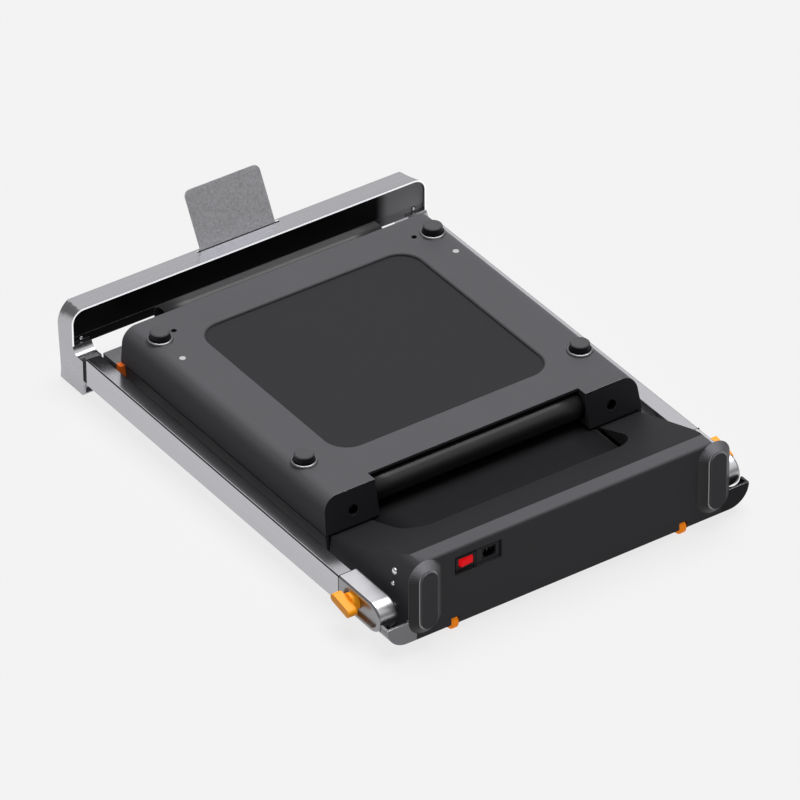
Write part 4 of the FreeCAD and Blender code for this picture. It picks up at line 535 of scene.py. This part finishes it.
for finish, names in wornBy.items():
    for name in names:
        nodes[name].data.materials.clear()
        nodes[name].data.materials.append(materials[finish])
bare = sorted(set(nodes) - {name for names in wornBy.values() for name in names})
print("solids dressed, without a finish:", bare)


# tolerances, in metres, and how flat a joined face has to be, in degrees
weld, hair, flatWithin = 1e-6, 1e-4, 0.5


# a bmesh of a solid's shape, its loose triangles merged and its flat faces joined
def borrowed(*names):
    bm = bmesh.new()
    for name in names:
        bm.from_mesh(nodes[name].data)
    bmesh.ops.remove_doubles(bm, verts=bm.verts, dist=weld)
    bmesh.ops.dissolve_limit(bm, angle_limit=math.radians(flatWithin), verts=bm.verts, edges=bm.edges)
    for face in bm.faces:
        face.material_index = 0
    return bm


def bentMore(edge, degrees):
    return len(edge.link_faces) == 2 and edge.calc_face_angle(0) > math.radians(degrees)


# bevels the picked edges; given a finish slot, the new bevel faces take it, which paints a highlight along the
# edge
def roundEdges(bm, width, segments=3, degrees=35, where=None, finishOrHighlight=0, limited=True):
    picked = [e for e in bm.edges if bentMore(e, degrees) and (where is None or where(e))]
    made = bmesh.ops.bevel(bm, geom=picked, offset=width, offset_type="OFFSET", segments=segments,
                           profile=0.5, affect="EDGES", clamp_overlap=limited, material=-1)
    for face in made["faces"] if finishOrHighlight else ():
        face.material_index = finishOrHighlight


def middle(edge):
    return (edge.verts[0].co + edge.verts[1].co) / 2


# turns a flat sheet's faces up
def upward(bm):
    bmesh.ops.reverse_faces(bm, faces=[f for f in bm.faces if f.normal.z < 0])


# makes a bmesh a finished piece that stands for solids and moves with a body
def addPiece(bm, name, finish, body, stands=(), extra=(), smooth=32, weighted=True):
    mesh = bpy.data.meshes.new(name)
    bm.to_mesh(mesh)
    bm.free()
    for finishOrHighlight in (finish, *extra):
        mesh.materials.append(materials[finishOrHighlight])
    mesh.shade_smooth()
    mesh.set_sharp_from_angle(angle=math.radians(smooth))
    piece = bpy.data.objects.new(name, mesh)
    bpy.context.scene.collection.objects.link(piece)
    if weighted:
        even = piece.modifiers.new("evenNormals", "WEIGHTED_NORMAL")
        even.keep_sharp = True
    if body:
        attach(piece, body)
    if stands:
        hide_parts(*stands)
    return piece


# rear half: shell with a soft rim round its sunk field, and its end caps; the foot collars' bevels carry a
# painted highlight
shellLook = {"rim": 0.0045, "rimSteps": 5, "collarEdge": 0.0018, "collarSteps": 3, "collarRise": 0.001,
             "sharpFrom": 60, "recessHalf": 0.214, "recessY": (-0.156, 0.273), "topZ": 0.145}


def makeShell(look):
    bm = borrowed("rear_shell")
    top = look["topZ"]

    def onRim(edge):
        m = middle(edge)
        flat = all(abs(v.co.z - top) < hair for v in edge.verts)
        return flat and abs(m.x) < look["recessHalf"] + hair and look["recessY"][0] < m.y < look["recessY"][1]

    def onCollar(edge):
        return middle(edge).z > top + look["collarRise"]

    roundEdges(bm, look["rim"], look["rimSteps"], look["sharpFrom"], onRim, limited=False)
    roundEdges(bm, look["collarEdge"], look["collarSteps"], look["sharpFrom"], onCollar, finishOrHighlight=1, limited=False)
    addPiece(bm, "rearShellMoulding", "shellGrey", "rear_half", ["rear_shell"], ["edgeHighlightGrey"])


makeShell(shellLook)

# end caps: a widened hole; the front faces take a darker finish that paints shade, the hole's faces a black
# that paints shade, and the edge bevels a lighter finish that paints highlights
capLook = {"edge": 0.0014, "steps": 3, "sharpFrom": 40, "seamY": -0.229, "seamGap": 0.001, "holeX": 0.258,
           "holeZ": 0.1083, "holeRadius": 0.006, "holeWithin": 2e-4, "wideHole": 0.0092, "holeReach": 1.01,
           "faceLean": 14 / 63, "faceY": -0.2571, "faceWithin": 1e-3, "frontFacing": -0.6}


def makeEndCaps(look):
    grow = look["wideHole"] / look["holeRadius"]
    for side, sign in (("left", -1), ("right", 1)):
        bm = borrowed(f"rear_end_cap_{side}")
        centre = Vector((sign * look["holeX"], 0, look["holeZ"]))
        for v in bm.verts:
            out = Vector((v.co.x - centre.x, 0, v.co.z - centre.z))
            if abs(out.length - look["holeRadius"]) < look["holeWithin"]:
                onFace = abs(v.co.y - look["faceY"] - out.z * look["faceLean"]) < look["faceWithin"]
                v.co += out * (grow - 1) + Vector((0, onFace * look["faceLean"] * out.z * (grow - 1), 0))
        for face in bm.faces:
            reach = face.calc_center_median() - centre
            inHole = math.hypot(reach.x, reach.z) < look["wideHole"] * look["holeReach"]
            face.material_index = 2 if inHole else int(face.normal.y < look["frontFacing"])

        def awayFromSeam(edge):
            return all(v.co.y < look["seamY"] - look["seamGap"] for v in edge.verts)

        roundEdges(bm, look["edge"], look["steps"], look["sharpFrom"], awayFromSeam, finishOrHighlight=3)
        addPiece(bm, f"endCap{side.title()}", "shellGrey", "rear_half", [f"rear_end_cap_{side}"],
                 ["capBlack", "paintedShadeAndFrameBlack", "edgeHighlightGrey"])


makeEndCaps(capLook)

# feet: rounded rubber; their side faces take a darker finish that paints shade, and a flat black ring round
# each rear foot paints the shade in the gap at its collar
feetLook = {"edge": 0.0011, "steps": 4, "sharpFrom": 30, "sideTurn": 0.3, "shadeInner": 0.0160,
            "shadeOuter": 0.0196, "shadeZ": 0.1492, "shadeSteps": 40,
            "at": ((-0.276, 0.285), (0.276, 0.285), (-0.276, -0.142), (0.276, -0.142))}


def makeFeet(look):
    for name, body in (("rear_feet", "rear_half"), ("front_feet", "base")):
        bm = borrowed(name)
        for face in bm.faces:
            face.material_index = int(abs(face.normal.z) < look["sideTurn"])
        roundEdges(bm, look["edge"], look["steps"], look["sharpFrom"])
        addPiece(bm, name.replace("_feet", "FeetRubber"), "footRubber", body, [name], ["capBlack"])
    bm = bmesh.new()
    for x, y in look["at"]:
        ends = [bm.verts.new((x + r, y, look["shadeZ"])) for r in (look["shadeInner"], look["shadeOuter"])]
        bar = bm.edges.new(ends)
        bmesh.ops.spin(bm, geom=ends + [bar], cent=(x, y, look["shadeZ"]), axis=(0, 0, 1),
                       angle=2 * math.pi, steps=look["shadeSteps"])
    bmesh.ops.remove_doubles(bm, verts=bm.verts, dist=weld)
    bmesh.ops.recalc_face_normals(bm, faces=bm.faces)
    upward(bm)
    addPiece(bm, "footShadeRings", "paintedShadeAndFrameBlack", "rear_half")


makeFeet(feetLook)
print("rear half made")


# belts: a strip carried along its run, round its roller and back
# foldZ is the plane that the two halves mirror in; low is the return run of the front half
beltLook = {"half": 0.2198, "thick": 0.002, "across": 8, "arcSteps": 20, "runSteps": 14, "radius": 0.0233,
            "frontRoller": (-0.410, 0.0537), "frontTop": 0.077, "frontLow": 0.0304, "topEnd": 0.3657,
            "rearRoller": (-0.222, 0.1083), "rearTop": 0.1316, "rearLow": 0.085, "seamY": 0.345,
            "foldZ": 0.081, "foldDip": (0.359, 0.371, 0.0224), "foldRound": 0.017, "foldOut": 0.388,
            "foldSteps": (3, 3, 8, 6), "blendLow": (0.030, 0.078), "blendHigh": (0.084, 0.132)}


def beltStrip(points, look):
    bm = bmesh.new()
    along = bm.verts.layers.float.new("along")
    first = [bm.verts.new((-look["half"] + 2 * look["half"] * i / look["across"], *points[0]))
             for i in range(look["across"] + 1)]
    edges = [bm.edges.new(pair) for pair in zip(first, first[1:])]
    reach = 0.0
    for before, after in zip(points, points[1:]):
        grown = bmesh.ops.extrude_edge_only(bm, edges=edges)["geom"]
        edges = [g for g in grown if isinstance(g, bmesh.types.BMEdge)]
        verts = [g for g in grown if isinstance(g, bmesh.types.BMVert)]
        bmesh.ops.translate(bm, verts=verts, vec=(0, after[0] - before[0], after[1] - before[1]))
        reach += math.dist(before, after)
        for v in verts:
            v[along] = reach
        edges = [e for e in edges if all(v in verts for v in e.verts)]
    bmesh.ops.recalc_face_normals(bm, faces=bm.faces)
    layer = bm.loops.layers.uv.new("beltRun")
    for face in bm.faces:
        for loop in face.loops:
            loop[layer].uv = (loop.vert.co.x, loop.vert[along])
    return bm


def straight(start, end, steps):
    return [(start[0] + (end[0] - start[0]) * i / steps, start[1] + (end[1] - start[1]) * i / steps)
            for i in range(steps + 1)]


def arc(centre, radius, start, end, steps):
    turns = [math.radians(start + (end - start) * i / steps) for i in range(steps + 1)]
    return [(centre[0] + radius * math.cos(t), centre[1] + radius * math.sin(t)) for t in turns]


def addBelt(points, name, look, body, stands, finish="walkingBelt"):
    piece = addPiece(beltStrip(points, look), name, finish, body, stands, weighted=False)
    wall = piece.modifiers.new("beltThickness", "SOLIDIFY")
    wall.thickness = look["thick"]
    wall.offset = 0
    return piece


def makeBelts(look):
    steps, bends, seam, out = look["runSteps"], look["arcSteps"], look["seamY"], look["foldOut"]
    centre, radius, top, low = look["frontRoller"], look["radius"], look["frontTop"], look["frontLow"]
    front = straight((look["topEnd"], top), (centre[0], top), steps)
    front += arc(centre, radius, 90, 270, bends)[1:] + straight((centre[0], low), (seam, low), steps)[1:]
    addBelt(front, "frontBeltStrip", look, "base", ["front_belt"])
    centre, high = look["rearRoller"], look["rearTop"]
    rear = straight((look["topEnd"], look["rearLow"]), (centre[0], look["rearLow"]), steps)
    rear += arc(centre, radius, 270, 90, bends)[1:] + straight((centre[0], high), (seam, high), steps)[1:]
    addBelt(rear, "rearBeltStrip", look, "rear_half", ["rear_belt"], "rollBelt")
    dipStart, dipEnd, dip = look["foldDip"]
    bend, (slant, flat, turn, rise) = look["foldRound"], look["foldSteps"]
    loop = straight((seam, low), (dipStart, dip), slant) + straight((dipStart, dip), (dipEnd, dip), flat)[1:]
    loop += arc((dipEnd, dip + bend), bend, -90, 0, turn)[1:]
    loop += straight((out, dip + bend), (out, look["foldZ"]), rise)[1:]
    lower = addBelt(loop, "foldBeltLower", look, None, ["fold_belt"], "rollBelt")
    over = [(y, 2 * look["foldZ"] - z) for y, z in reversed(loop)]
    upper = addBelt(over, "foldBeltUpper", look, None, ["fold_belt"], "rollBelt")
    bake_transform(lower)
    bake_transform(upper)


makeBelts(beltLook)
print("belts made")


# motor cover: dark sloping top, grey front and strip, soft edges; the front faces carry painted light and shade
# by the way they turn
coverLook = {"edge": 0.0016, "cornerEdge": 0.00112, "steps": 3, "slopeLow": 0.9, "slopeHigh": 0.962,
             "slopeTurn": 0.2, "frontY": -0.502, "bossTop": -0.5125, "rimWidth": 0.0012, "rimSteps": 2,
             "rimFrom": 20, "cornerFrom": 40, "edgeFrom": 50, "cornerX": 0.297, "cornerY": -0.4955,
             "lowest": 0.016, "bossPaintedLevels": (0.25, 0.45, 3.1), "bossTurn": 0.6, "bossShade": 0.7,
             "bossPaintedHighlight": 1.6}


# painted light and shade on the motor cover's front: how light a part is painted, by the way it faces
def bossPaintedLight(normal, look):
    dark, plain, light = look["bossPaintedLevels"]
    up = min(1, max(0, normal.z / look["bossTurn"]))
    low = min(1, max(-normal.z, -normal.x, 0) / look["bossTurn"])
    side = plain + (dark - plain) * low * (1 - up)
    lift = 1 + look["bossPaintedHighlight"] * up * max(0, -normal.x)
    return (side + (light - plain) * up) * lift * (1 - look["bossShade"] * max(0, normal.x))


def makeCover(look):
    bm = borrowed("motor_cover")
    for face in bm.faces:
        n = face.normal
        if look["slopeLow"] < n.z < look["slopeHigh"] and n.y > look["slopeTurn"]:
            face.material_index = 1
        elif face.calc_center_median().y < look["frontY"] - hair:
            face.material_index = 2
    # the bevel faces of the boss rims and of the front corner edges take the lighter edge finish: painted
    # highlights
    onTop = [e for e in bm.edges if all(v.co.y < look["bossTop"] for v in e.verts)]
    rims = [e for e in onTop if bentMore(e, look["rimFrom"])]
    bmesh.ops.bevel(bm, geom=rims, offset=look["rimWidth"], offset_type="OFFSET", segments=look["rimSteps"],
                    profile=0.5, affect="EDGES", clamp_overlap=True, material=3)

    def onCorner(edge):
        m = middle(edge)
        near = look["bossTop"] < m.y < look["cornerY"] and m.z > look["lowest"]
        return near and abs(m.x) > look["cornerX"]

    def elsewhere(edge):
        m = middle(edge)
        return m.z > look["lowest"] and m.y > look["bossTop"] and not onCorner(edge)

    roundEdges(bm, look["cornerEdge"], look["steps"], look["cornerFrom"], onCorner, finishOrHighlight=3)
    roundEdges(bm, look["edge"], look["steps"], look["edgeFrom"], elsewhere)
    # each face's painted light level, set by the way it turns
    tone = bm.loops.layers.float.new("bossPaintedLight")
    for face in bm.faces:
        for loop in face.loops:
            loop[tone] = bossPaintedLight(face.normal, look)
    addPiece(bm, "motorCoverMoulding", "housingGrey", "base", ["motor_cover"],
             ["coverBlack", "bossPaintedLightGrey", "edgeHighlightGrey"])


makeCover(coverLook)

# stand pads: the bevel faces on left-facing edges keep a lighter finish, a painted highlight
padLook = {"edge": 0.0008, "steps": 2, "sharpFrom": 40, "litTurn": -0.3}


def makePads(look):
    bm = borrowed("stand_pads")
    roundEdges(bm, look["edge"], look["steps"], look["sharpFrom"], finishOrHighlight=1)
    for face in bm.faces:
        if face.normal.x > look["litTurn"]:
            face.material_index = 0
    addPiece(bm, "standPadRubber", "padRubber", "base", ["stand_pads"], ["padEdgeHighlight"])


makePads(padLook)

# base wings: the upper lip's bevel faces take a lighter finish, a painted highlight, bright on the left wing
# and grey on the right
wingLook = {"edge": 0.0022, "steps": 3, "sharpFrom": 40, "lipZ": 0.052,
            "sides": (("Left", -1, "wingGrey", "edgeHighlightBright"), ("Right", 1, "capBlack", "edgeHighlightGrey"))}


def makeWings(look):
    sharp = look["sharpFrom"]
    for side, sign, finish, lip in look["sides"]:
        bm = borrowed("base_wings")
        other = [v for v in bm.verts if v.co.x * sign < 0]
        bmesh.ops.delete(bm, geom=other, context="VERTS")
        roundEdges(bm, look["edge"] / 2, look["steps"], sharp, lambda e: middle(e).z > look["lipZ"], finishOrHighlight=1)
        roundEdges(bm, look["edge"], look["steps"], sharp, lambda e: middle(e).z < look["lipZ"])
        addPiece(bm, f"baseWing{side}", finish, "base", ["base_wings"], [lip])


makeWings(wingLook)

switchLook = {"edge": 0.0006, "steps": 2, "sharpFrom": 40, "keyEdge": 0.0009, "frontY": -0.5023,
              "keyFront": -0.495, "window": (-0.182, 0.1275, 0.091, 0.034, 0.0016),
              "rocker": (-0.2068, 0.1275, 0.0415, 0.031, 0.0018)}


# a flat rectangular ring across y: middle x and z, width, height, width of its band
def addRing(bm, y, x, z, width, height, band):
    corners = [(-1, -1), (1, -1), (1, 1), (-1, 1)]
    face = bm.faces.new([bm.verts.new((x + u * width / 2, y, z + v * height / 2)) for u, v in corners])
    face.normal_update()
    bmesh.ops.inset_region(bm, faces=[face], thickness=band, use_boundary=True, use_even_offset=True)
    bmesh.ops.delete(bm, geom=[face], context="FACES_ONLY")


def makeSwitch(look):
    sharp = look["sharpFrom"]
    for node, name, finish in (("switch_panel", "switchPlate", "housingGrey"),
                               ("mains_inlet", "inletSocket", "coverBlack")):
        bm = borrowed(node)
        roundEdges(bm, look["edge"], look["steps"], sharp)
        addPiece(bm, name, finish, "base", [node])
    bm = borrowed("rocker")
    roundEdges(bm, look["keyEdge"], look["steps"], sharp, lambda e: middle(e).y < look["keyFront"])
    addPiece(bm, "rockerKey", "switchRed", "rocker", ["rocker"])
    # black rings on the front: round the rocker its dark frame with the shade of its gap painted in, round the
    # window the shade of the recess edge painted in
    bm = bmesh.new()
    for part in ("window", "rocker"):
        addRing(bm, look["frontY"], *look[part])
    addPiece(bm, "switchFrameAndShadeRings", "paintedShadeAndFrameBlack", "base")


makeSwitch(switchLook)

wheelLook = {"edge": 0.004, "steps": 4, "sharpFrom": 40}


def makeWheels(look):
    for side in ("left", "right"):
        bm = borrowed(f"wheel_{side}")
        roundEdges(bm, look["edge"], look["steps"], look["sharpFrom"])
        addPiece(bm, f"wheel{side.title()}Tread", "treadOrange", f"wheel_{side}", [f"wheel_{side}"])


makeWheels(wheelLook)
print("housing made")


# handrail
pivotLook = {"pivotY": -0.452, "pivotZ": 0.054, "radius": 0.0275, "seamY": -0.363, "inner": 0.322,
             "outer": 0.360, "noseSteps": 30, "edge": 0.0045, "edgeSteps": 6, "trackEnd": -0.374,
             "rim": 0.0085, "deep": 0.006,
             "lip": 0.0012, "lipSteps": 3, "farRound": 0.016, "farSteps": 8, "faceTurn": 0.35, "flatTurn": 0.99,
             "sharpFrom": 60, "lipGap": 0.002, "fine": 1e-5}


def makePivots(look):
    y, z, r = look["pivotY"], look["pivotZ"], look["radius"]
    for side, sign in (("left", -1), ("right", 1)):
        bm = bmesh.new()
        inner, outer = sign * look["inner"], sign * look["outer"]
        crown = bm.verts.new((inner, y, z + r))
        bmesh.ops.spin(bm, geom=[crown], cent=(inner, y, z), axis=(1, 0, 0), angle=math.pi,
                       steps=look["noseSteps"])
        outline = list(bm.verts) + [bm.verts.new((inner, look["seamY"], z + drop)) for drop in (-r, r)]
        face = bm.faces.new(outline)
        grown = bmesh.ops.extrude_face_region(bm, geom=[face])["geom"]
        moved = [g for g in grown if isinstance(g, bmesh.types.BMVert)]
        bmesh.ops.translate(bm, verts=moved, vec=(outer - inner, 0, 0))
        openEdges = [e for e in bm.edges if e.is_boundary]
        if openEdges:
            bmesh.ops.holes_fill(bm, edges=openEdges, sides=0)
        bmesh.ops.recalc_face_normals(bm, faces=bm.faces)
        roundEdges(bm, look["edge"], look["edgeSteps"], look["sharpFrom"],
                   lambda e: not all(v.co.y > look["seamY"] - look["fine"] for v in e.verts))
        bmesh.ops.bisect_plane(bm, geom=bm.verts[:] + bm.edges[:] + bm.faces[:],
                               plane_co=(0, look["trackEnd"], 0), plane_no=(0, 1, 0))
        outside = [f for f in bm.faces if f.normal.x * sign > look["flatTurn"]]
        flat = [f for f in outside if f.calc_center_median().y < look["trackEnd"]]
        field = max(flat, key=lambda f: f.calc_area())
        bmesh.ops.inset_region(bm, faces=[field], thickness=look["rim"] - look["edge"], use_even_offset=True)
        bmesh.ops.inset_region(bm, faces=[field], thickness=look["fine"], depth=-look["deep"],
                               use_even_offset=True)
        farEnd = max(v.co.y for v in field.verts)
        corners = [e for v in field.verts if v.co.y > farEnd - hair for e in v.link_edges
                   if abs(e.verts[0].co.x - e.verts[1].co.x) > look["deep"] / 2]
        bmesh.ops.bevel(bm, geom=corners, offset=look["farRound"], offset_type="OFFSET",
                        segments=look["farSteps"], profile=0.5, affect="EDGES", clamp_overlap=True, material=-1)

        def onLip(edge):
            flush = all(abs(v.co.x - outer) < look["fine"] for v in edge.verts)
            return flush and middle(edge).y < look["trackEnd"] - look["lipGap"]

        roundEdges(bm, look["lip"], look["lipSteps"], look["sharpFrom"], onLip)
        for face in bm.faces:
            if face.normal.x * sign > look["faceTurn"]:
                face.material_index = 1
        addPiece(bm, f"pivotBlock{side.title()}", "pivotMetal", "handrail", [f"pivot_block_{side}"],
                 ["pivotFace"])


makePivots(pivotLook)

knobLook = {"edge": 0.0025, "steps": 4, "sharpFrom": 50, "outsideX": 0.3555}


def makeKnobs(look):
    for side in ("left", "right"):
        bm = borrowed(f"lock_knob_{side}")
        roundEdges(bm, look["edge"], look["steps"], look["sharpFrom"],
                   lambda e: abs(middle(e).x) > look["outsideX"])
        addPiece(bm, f"lockKnob{side.title()}", "knobOrange", f"lock_knob_{side}", [f"lock_knob_{side}"])


makeKnobs(knobLook)

# crossbar band: the near rim's front faces take a glowing white finish that paints a highlight line
bandLook = {"edge": 0.0009, "steps": 3, "sharpFrom": 50, "rimY": 0.426, "rimTurn": -0.9, "rimGap": 0.004,
            "rimWithin": 5e-4}


def makeBand(look):
    bm = borrowed("crossbar_band")
    roundEdges(bm, look["edge"], look["steps"], look["sharpFrom"],
               lambda e: middle(e).y > look["rimY"] + look["rimGap"])
    for face in bm.faces:
        onRim = abs(face.calc_center_median().y - look["rimY"]) < look["rimWithin"]
        if onRim and face.normal.y < look["rimTurn"]:
            face.material_index = 1
    addPiece(bm, "crossbarBand", "bandMetal", "handrail", ["crossbar_band"], ["rimPaintedHighlight"])


makeBand(bandLook)

# crossbar panel: its bevel faces take the lighter edge finish, a painted highlight
panelLook = {"edge": 0.0006, "steps": 2, "sharpFrom": 50}


def makePanel(look):
    bm = borrowed("crossbar_panel")
    roundEdges(bm, look["edge"], look["steps"], look["sharpFrom"], finishOrHighlight=1)
    addPiece(bm, "crossbarPanel", "glossBlack", "handrail", ["crossbar_panel"], ["edgeHighlightGrey"])


makePanel(panelLook)

plateLook = {"edge": 0.0005, "steps": 2, "sharpFrom": 50, "slotHalf": 0.0825, "slotY": (0.4616, 0.4646),
             "bandY": 0.426, "bandZ": 0.151, "bandFall": 7 / 48, "lift": 0.0003}


def makePhonePlate(look):
    bm = borrowed("phone_plate")
    roundEdges(bm, look["edge"], look["steps"], look["sharpFrom"])
    addPiece(bm, "phonePlateSheet", "phoneSheet", "phone_plate", ["phone_plate"])
    # a flat black strip over the slot in front of the plate paints the shade in the slot
    bm = bmesh.new()
    rows = []
    for y in look["slotY"]:
        z = look["bandZ"] - (y - look["bandY"]) * look["bandFall"] + look["lift"]
        rows.append([bm.verts.new((x, y, z)) for x in (-look["slotHalf"], look["slotHalf"])])
    bm.faces.new((rows[0][0], rows[0][1], rows[1][1], rows[1][0]))
    bmesh.ops.recalc_face_normals(bm, faces=bm.faces)
    upward(bm)
    addPiece(bm, "phoneSlotShade", "paintedShadeAndFrameBlack", "handrail")


makePhonePlate(plateLook)

# arms: tops that lean in a little, a dark line on the outer upper corner that paints a reflection, a black
# strip at the pivot block's seam that paints the shade in its gap
armLook = {"outer": 0.360, "width": 0.030, "topFrom": 0.0779, "fall": 0.0022, "lineLow": 0.3, "lineHigh": 0.97,
           "seamY": -0.363, "seamWidth": 0.001, "seamProud": 0.0006, "low": 0.0265, "high": 0.0815}


def makeArms(look):
    for side, sign in (("left", -1), ("right", 1)):
        bm = borrowed(f"arm_{side}")
        for v in bm.verts:
            if v.co.z > look["topFrom"]:
                v.co.z -= look["fall"] * (look["outer"] - abs(v.co.x)) / look["width"]
        bm.normal_update()
        for face in bm.faces:
            n = face.normal
            if n.x * sign > look["lineLow"] and look["lineLow"] < n.z < look["lineHigh"]:
                face.material_index = 1
        addPiece(bm, f"armTube{side.title()}", "armMetal", "handrail", [f"arm_{side}"], ["armDarkReflectionLine"])
    bm = bmesh.new()
    grow, halfway = look["seamProud"], (look["low"] + look["high"]) / 2
    spans = (look["width"] + grow, look["seamWidth"], look["high"] - look["low"] + grow, 1)
    for sign in (-1, 1):
        place = Matrix.Translation((sign * (look["outer"] - look["width"] / 2), look["seamY"], halfway))
        bmesh.ops.create_cube(bm, size=1, matrix=place @ Matrix.Diagonal(spans))
    addPiece(bm, "armSeamShade", "paintedShadeAndFrameBlack", "handrail")


makeArms(armLook)

# screw heads: a dome on a wider black ring that paints the shade round the head, the cover's square to its
# leaning side
screwLook = {"coverRadii": (0.0042, 0.0064), "barRadius": 0.0034, "rise": 0.55, "steps": 6, "turns": 24,
             "seat": 1.4, "seatLift": 0.0003, "headDepth": 0.003, "barSink": 0.0005, "sideLean": 8.7,
             "digits": 3}


def islandBoxes(name):
    bm = borrowed(name)
    left, boxes = set(bm.verts), []
    while left:
        waiting, found = [left.pop()], []
        while waiting:
            v = waiting.pop()
            found.append(v.co.copy())
            near = {e.other_vert(v) for e in v.link_edges} & left
            left -= near
            waiting.extend(near)
        boxes.append([[pick(p[i] for p in found) for i in range(3)] for pick in (min, max)])
    bm.free()
    return boxes


def addDome(bm, place, outward, radius, look):
    across = outward.orthogonal().normalized()
    wide = radius * look["seat"]
    profile = [bm.verts.new(place + across * wide + outward * look["seatLift"])]
    for step in range(look["steps"] + 1):
        turn = math.pi / 2 * step / look["steps"]
        lift = outward * (look["seatLift"] + radius * look["rise"] * math.sin(turn))
        profile.append(bm.verts.new(place + across * radius * math.cos(turn) + lift))
    edges = [bm.edges.new(pair) for pair in zip(profile, profile[1:])]
    bmesh.ops.spin(bm, geom=profile + edges, cent=place, axis=outward, angle=2 * math.pi, steps=look["turns"])
    return [f for f in bm.faces if radius < (f.calc_center_median() - place).length < wide]


def coverScrew(low, high, levels, look):
    centre = (Vector(low) + Vector(high)) / 2
    sign = 1 if centre.x > 0 else -1
    lean = math.radians(look["sideLean"])
    reach = max(abs(low[0]), abs(high[0])) - look["headDepth"]
    radius = look["coverRadii"][levels.index(round(centre.z, look["digits"])) > 0]
    outward = Vector((sign * math.cos(lean), 0, math.sin(lean)))
    return Vector((sign * reach, centre.y, centre.z)), outward, radius


def barScrew(low, high, levels, look):
    centre = (Vector(low) + Vector(high)) / 2
    return Vector((centre.x, high[1] - look["barSink"], centre.z)), Vector((0, -1, 0)), look["barRadius"]


def makeScrews(look):
    for node, name, body, placed in (("cover_screws", "coverScrewHeads", "base", coverScrew),
                                     ("crossbar_screws", "barScrewHeads", "handrail", barScrew)):
        bm = bmesh.new()
        boxes = islandBoxes(node)
        levels = sorted({round((low[2] + high[2]) / 2, look["digits"]) for low, high in boxes})
        for low, high in boxes:
            place, outward, radius = placed(low, high, levels, look)
            for face in addDome(bm, place, outward, radius, look):
                face.material_index = 1
        bmesh.ops.remove_doubles(bm, verts=bm.verts, dist=weld)
        bmesh.ops.recalc_face_normals(bm, faces=bm.faces)
        addPiece(bm, name, "screwSteel", body, [node], ["paintedShadeAndFrameBlack"])


makeScrews(screwLook)
print("handrail made")
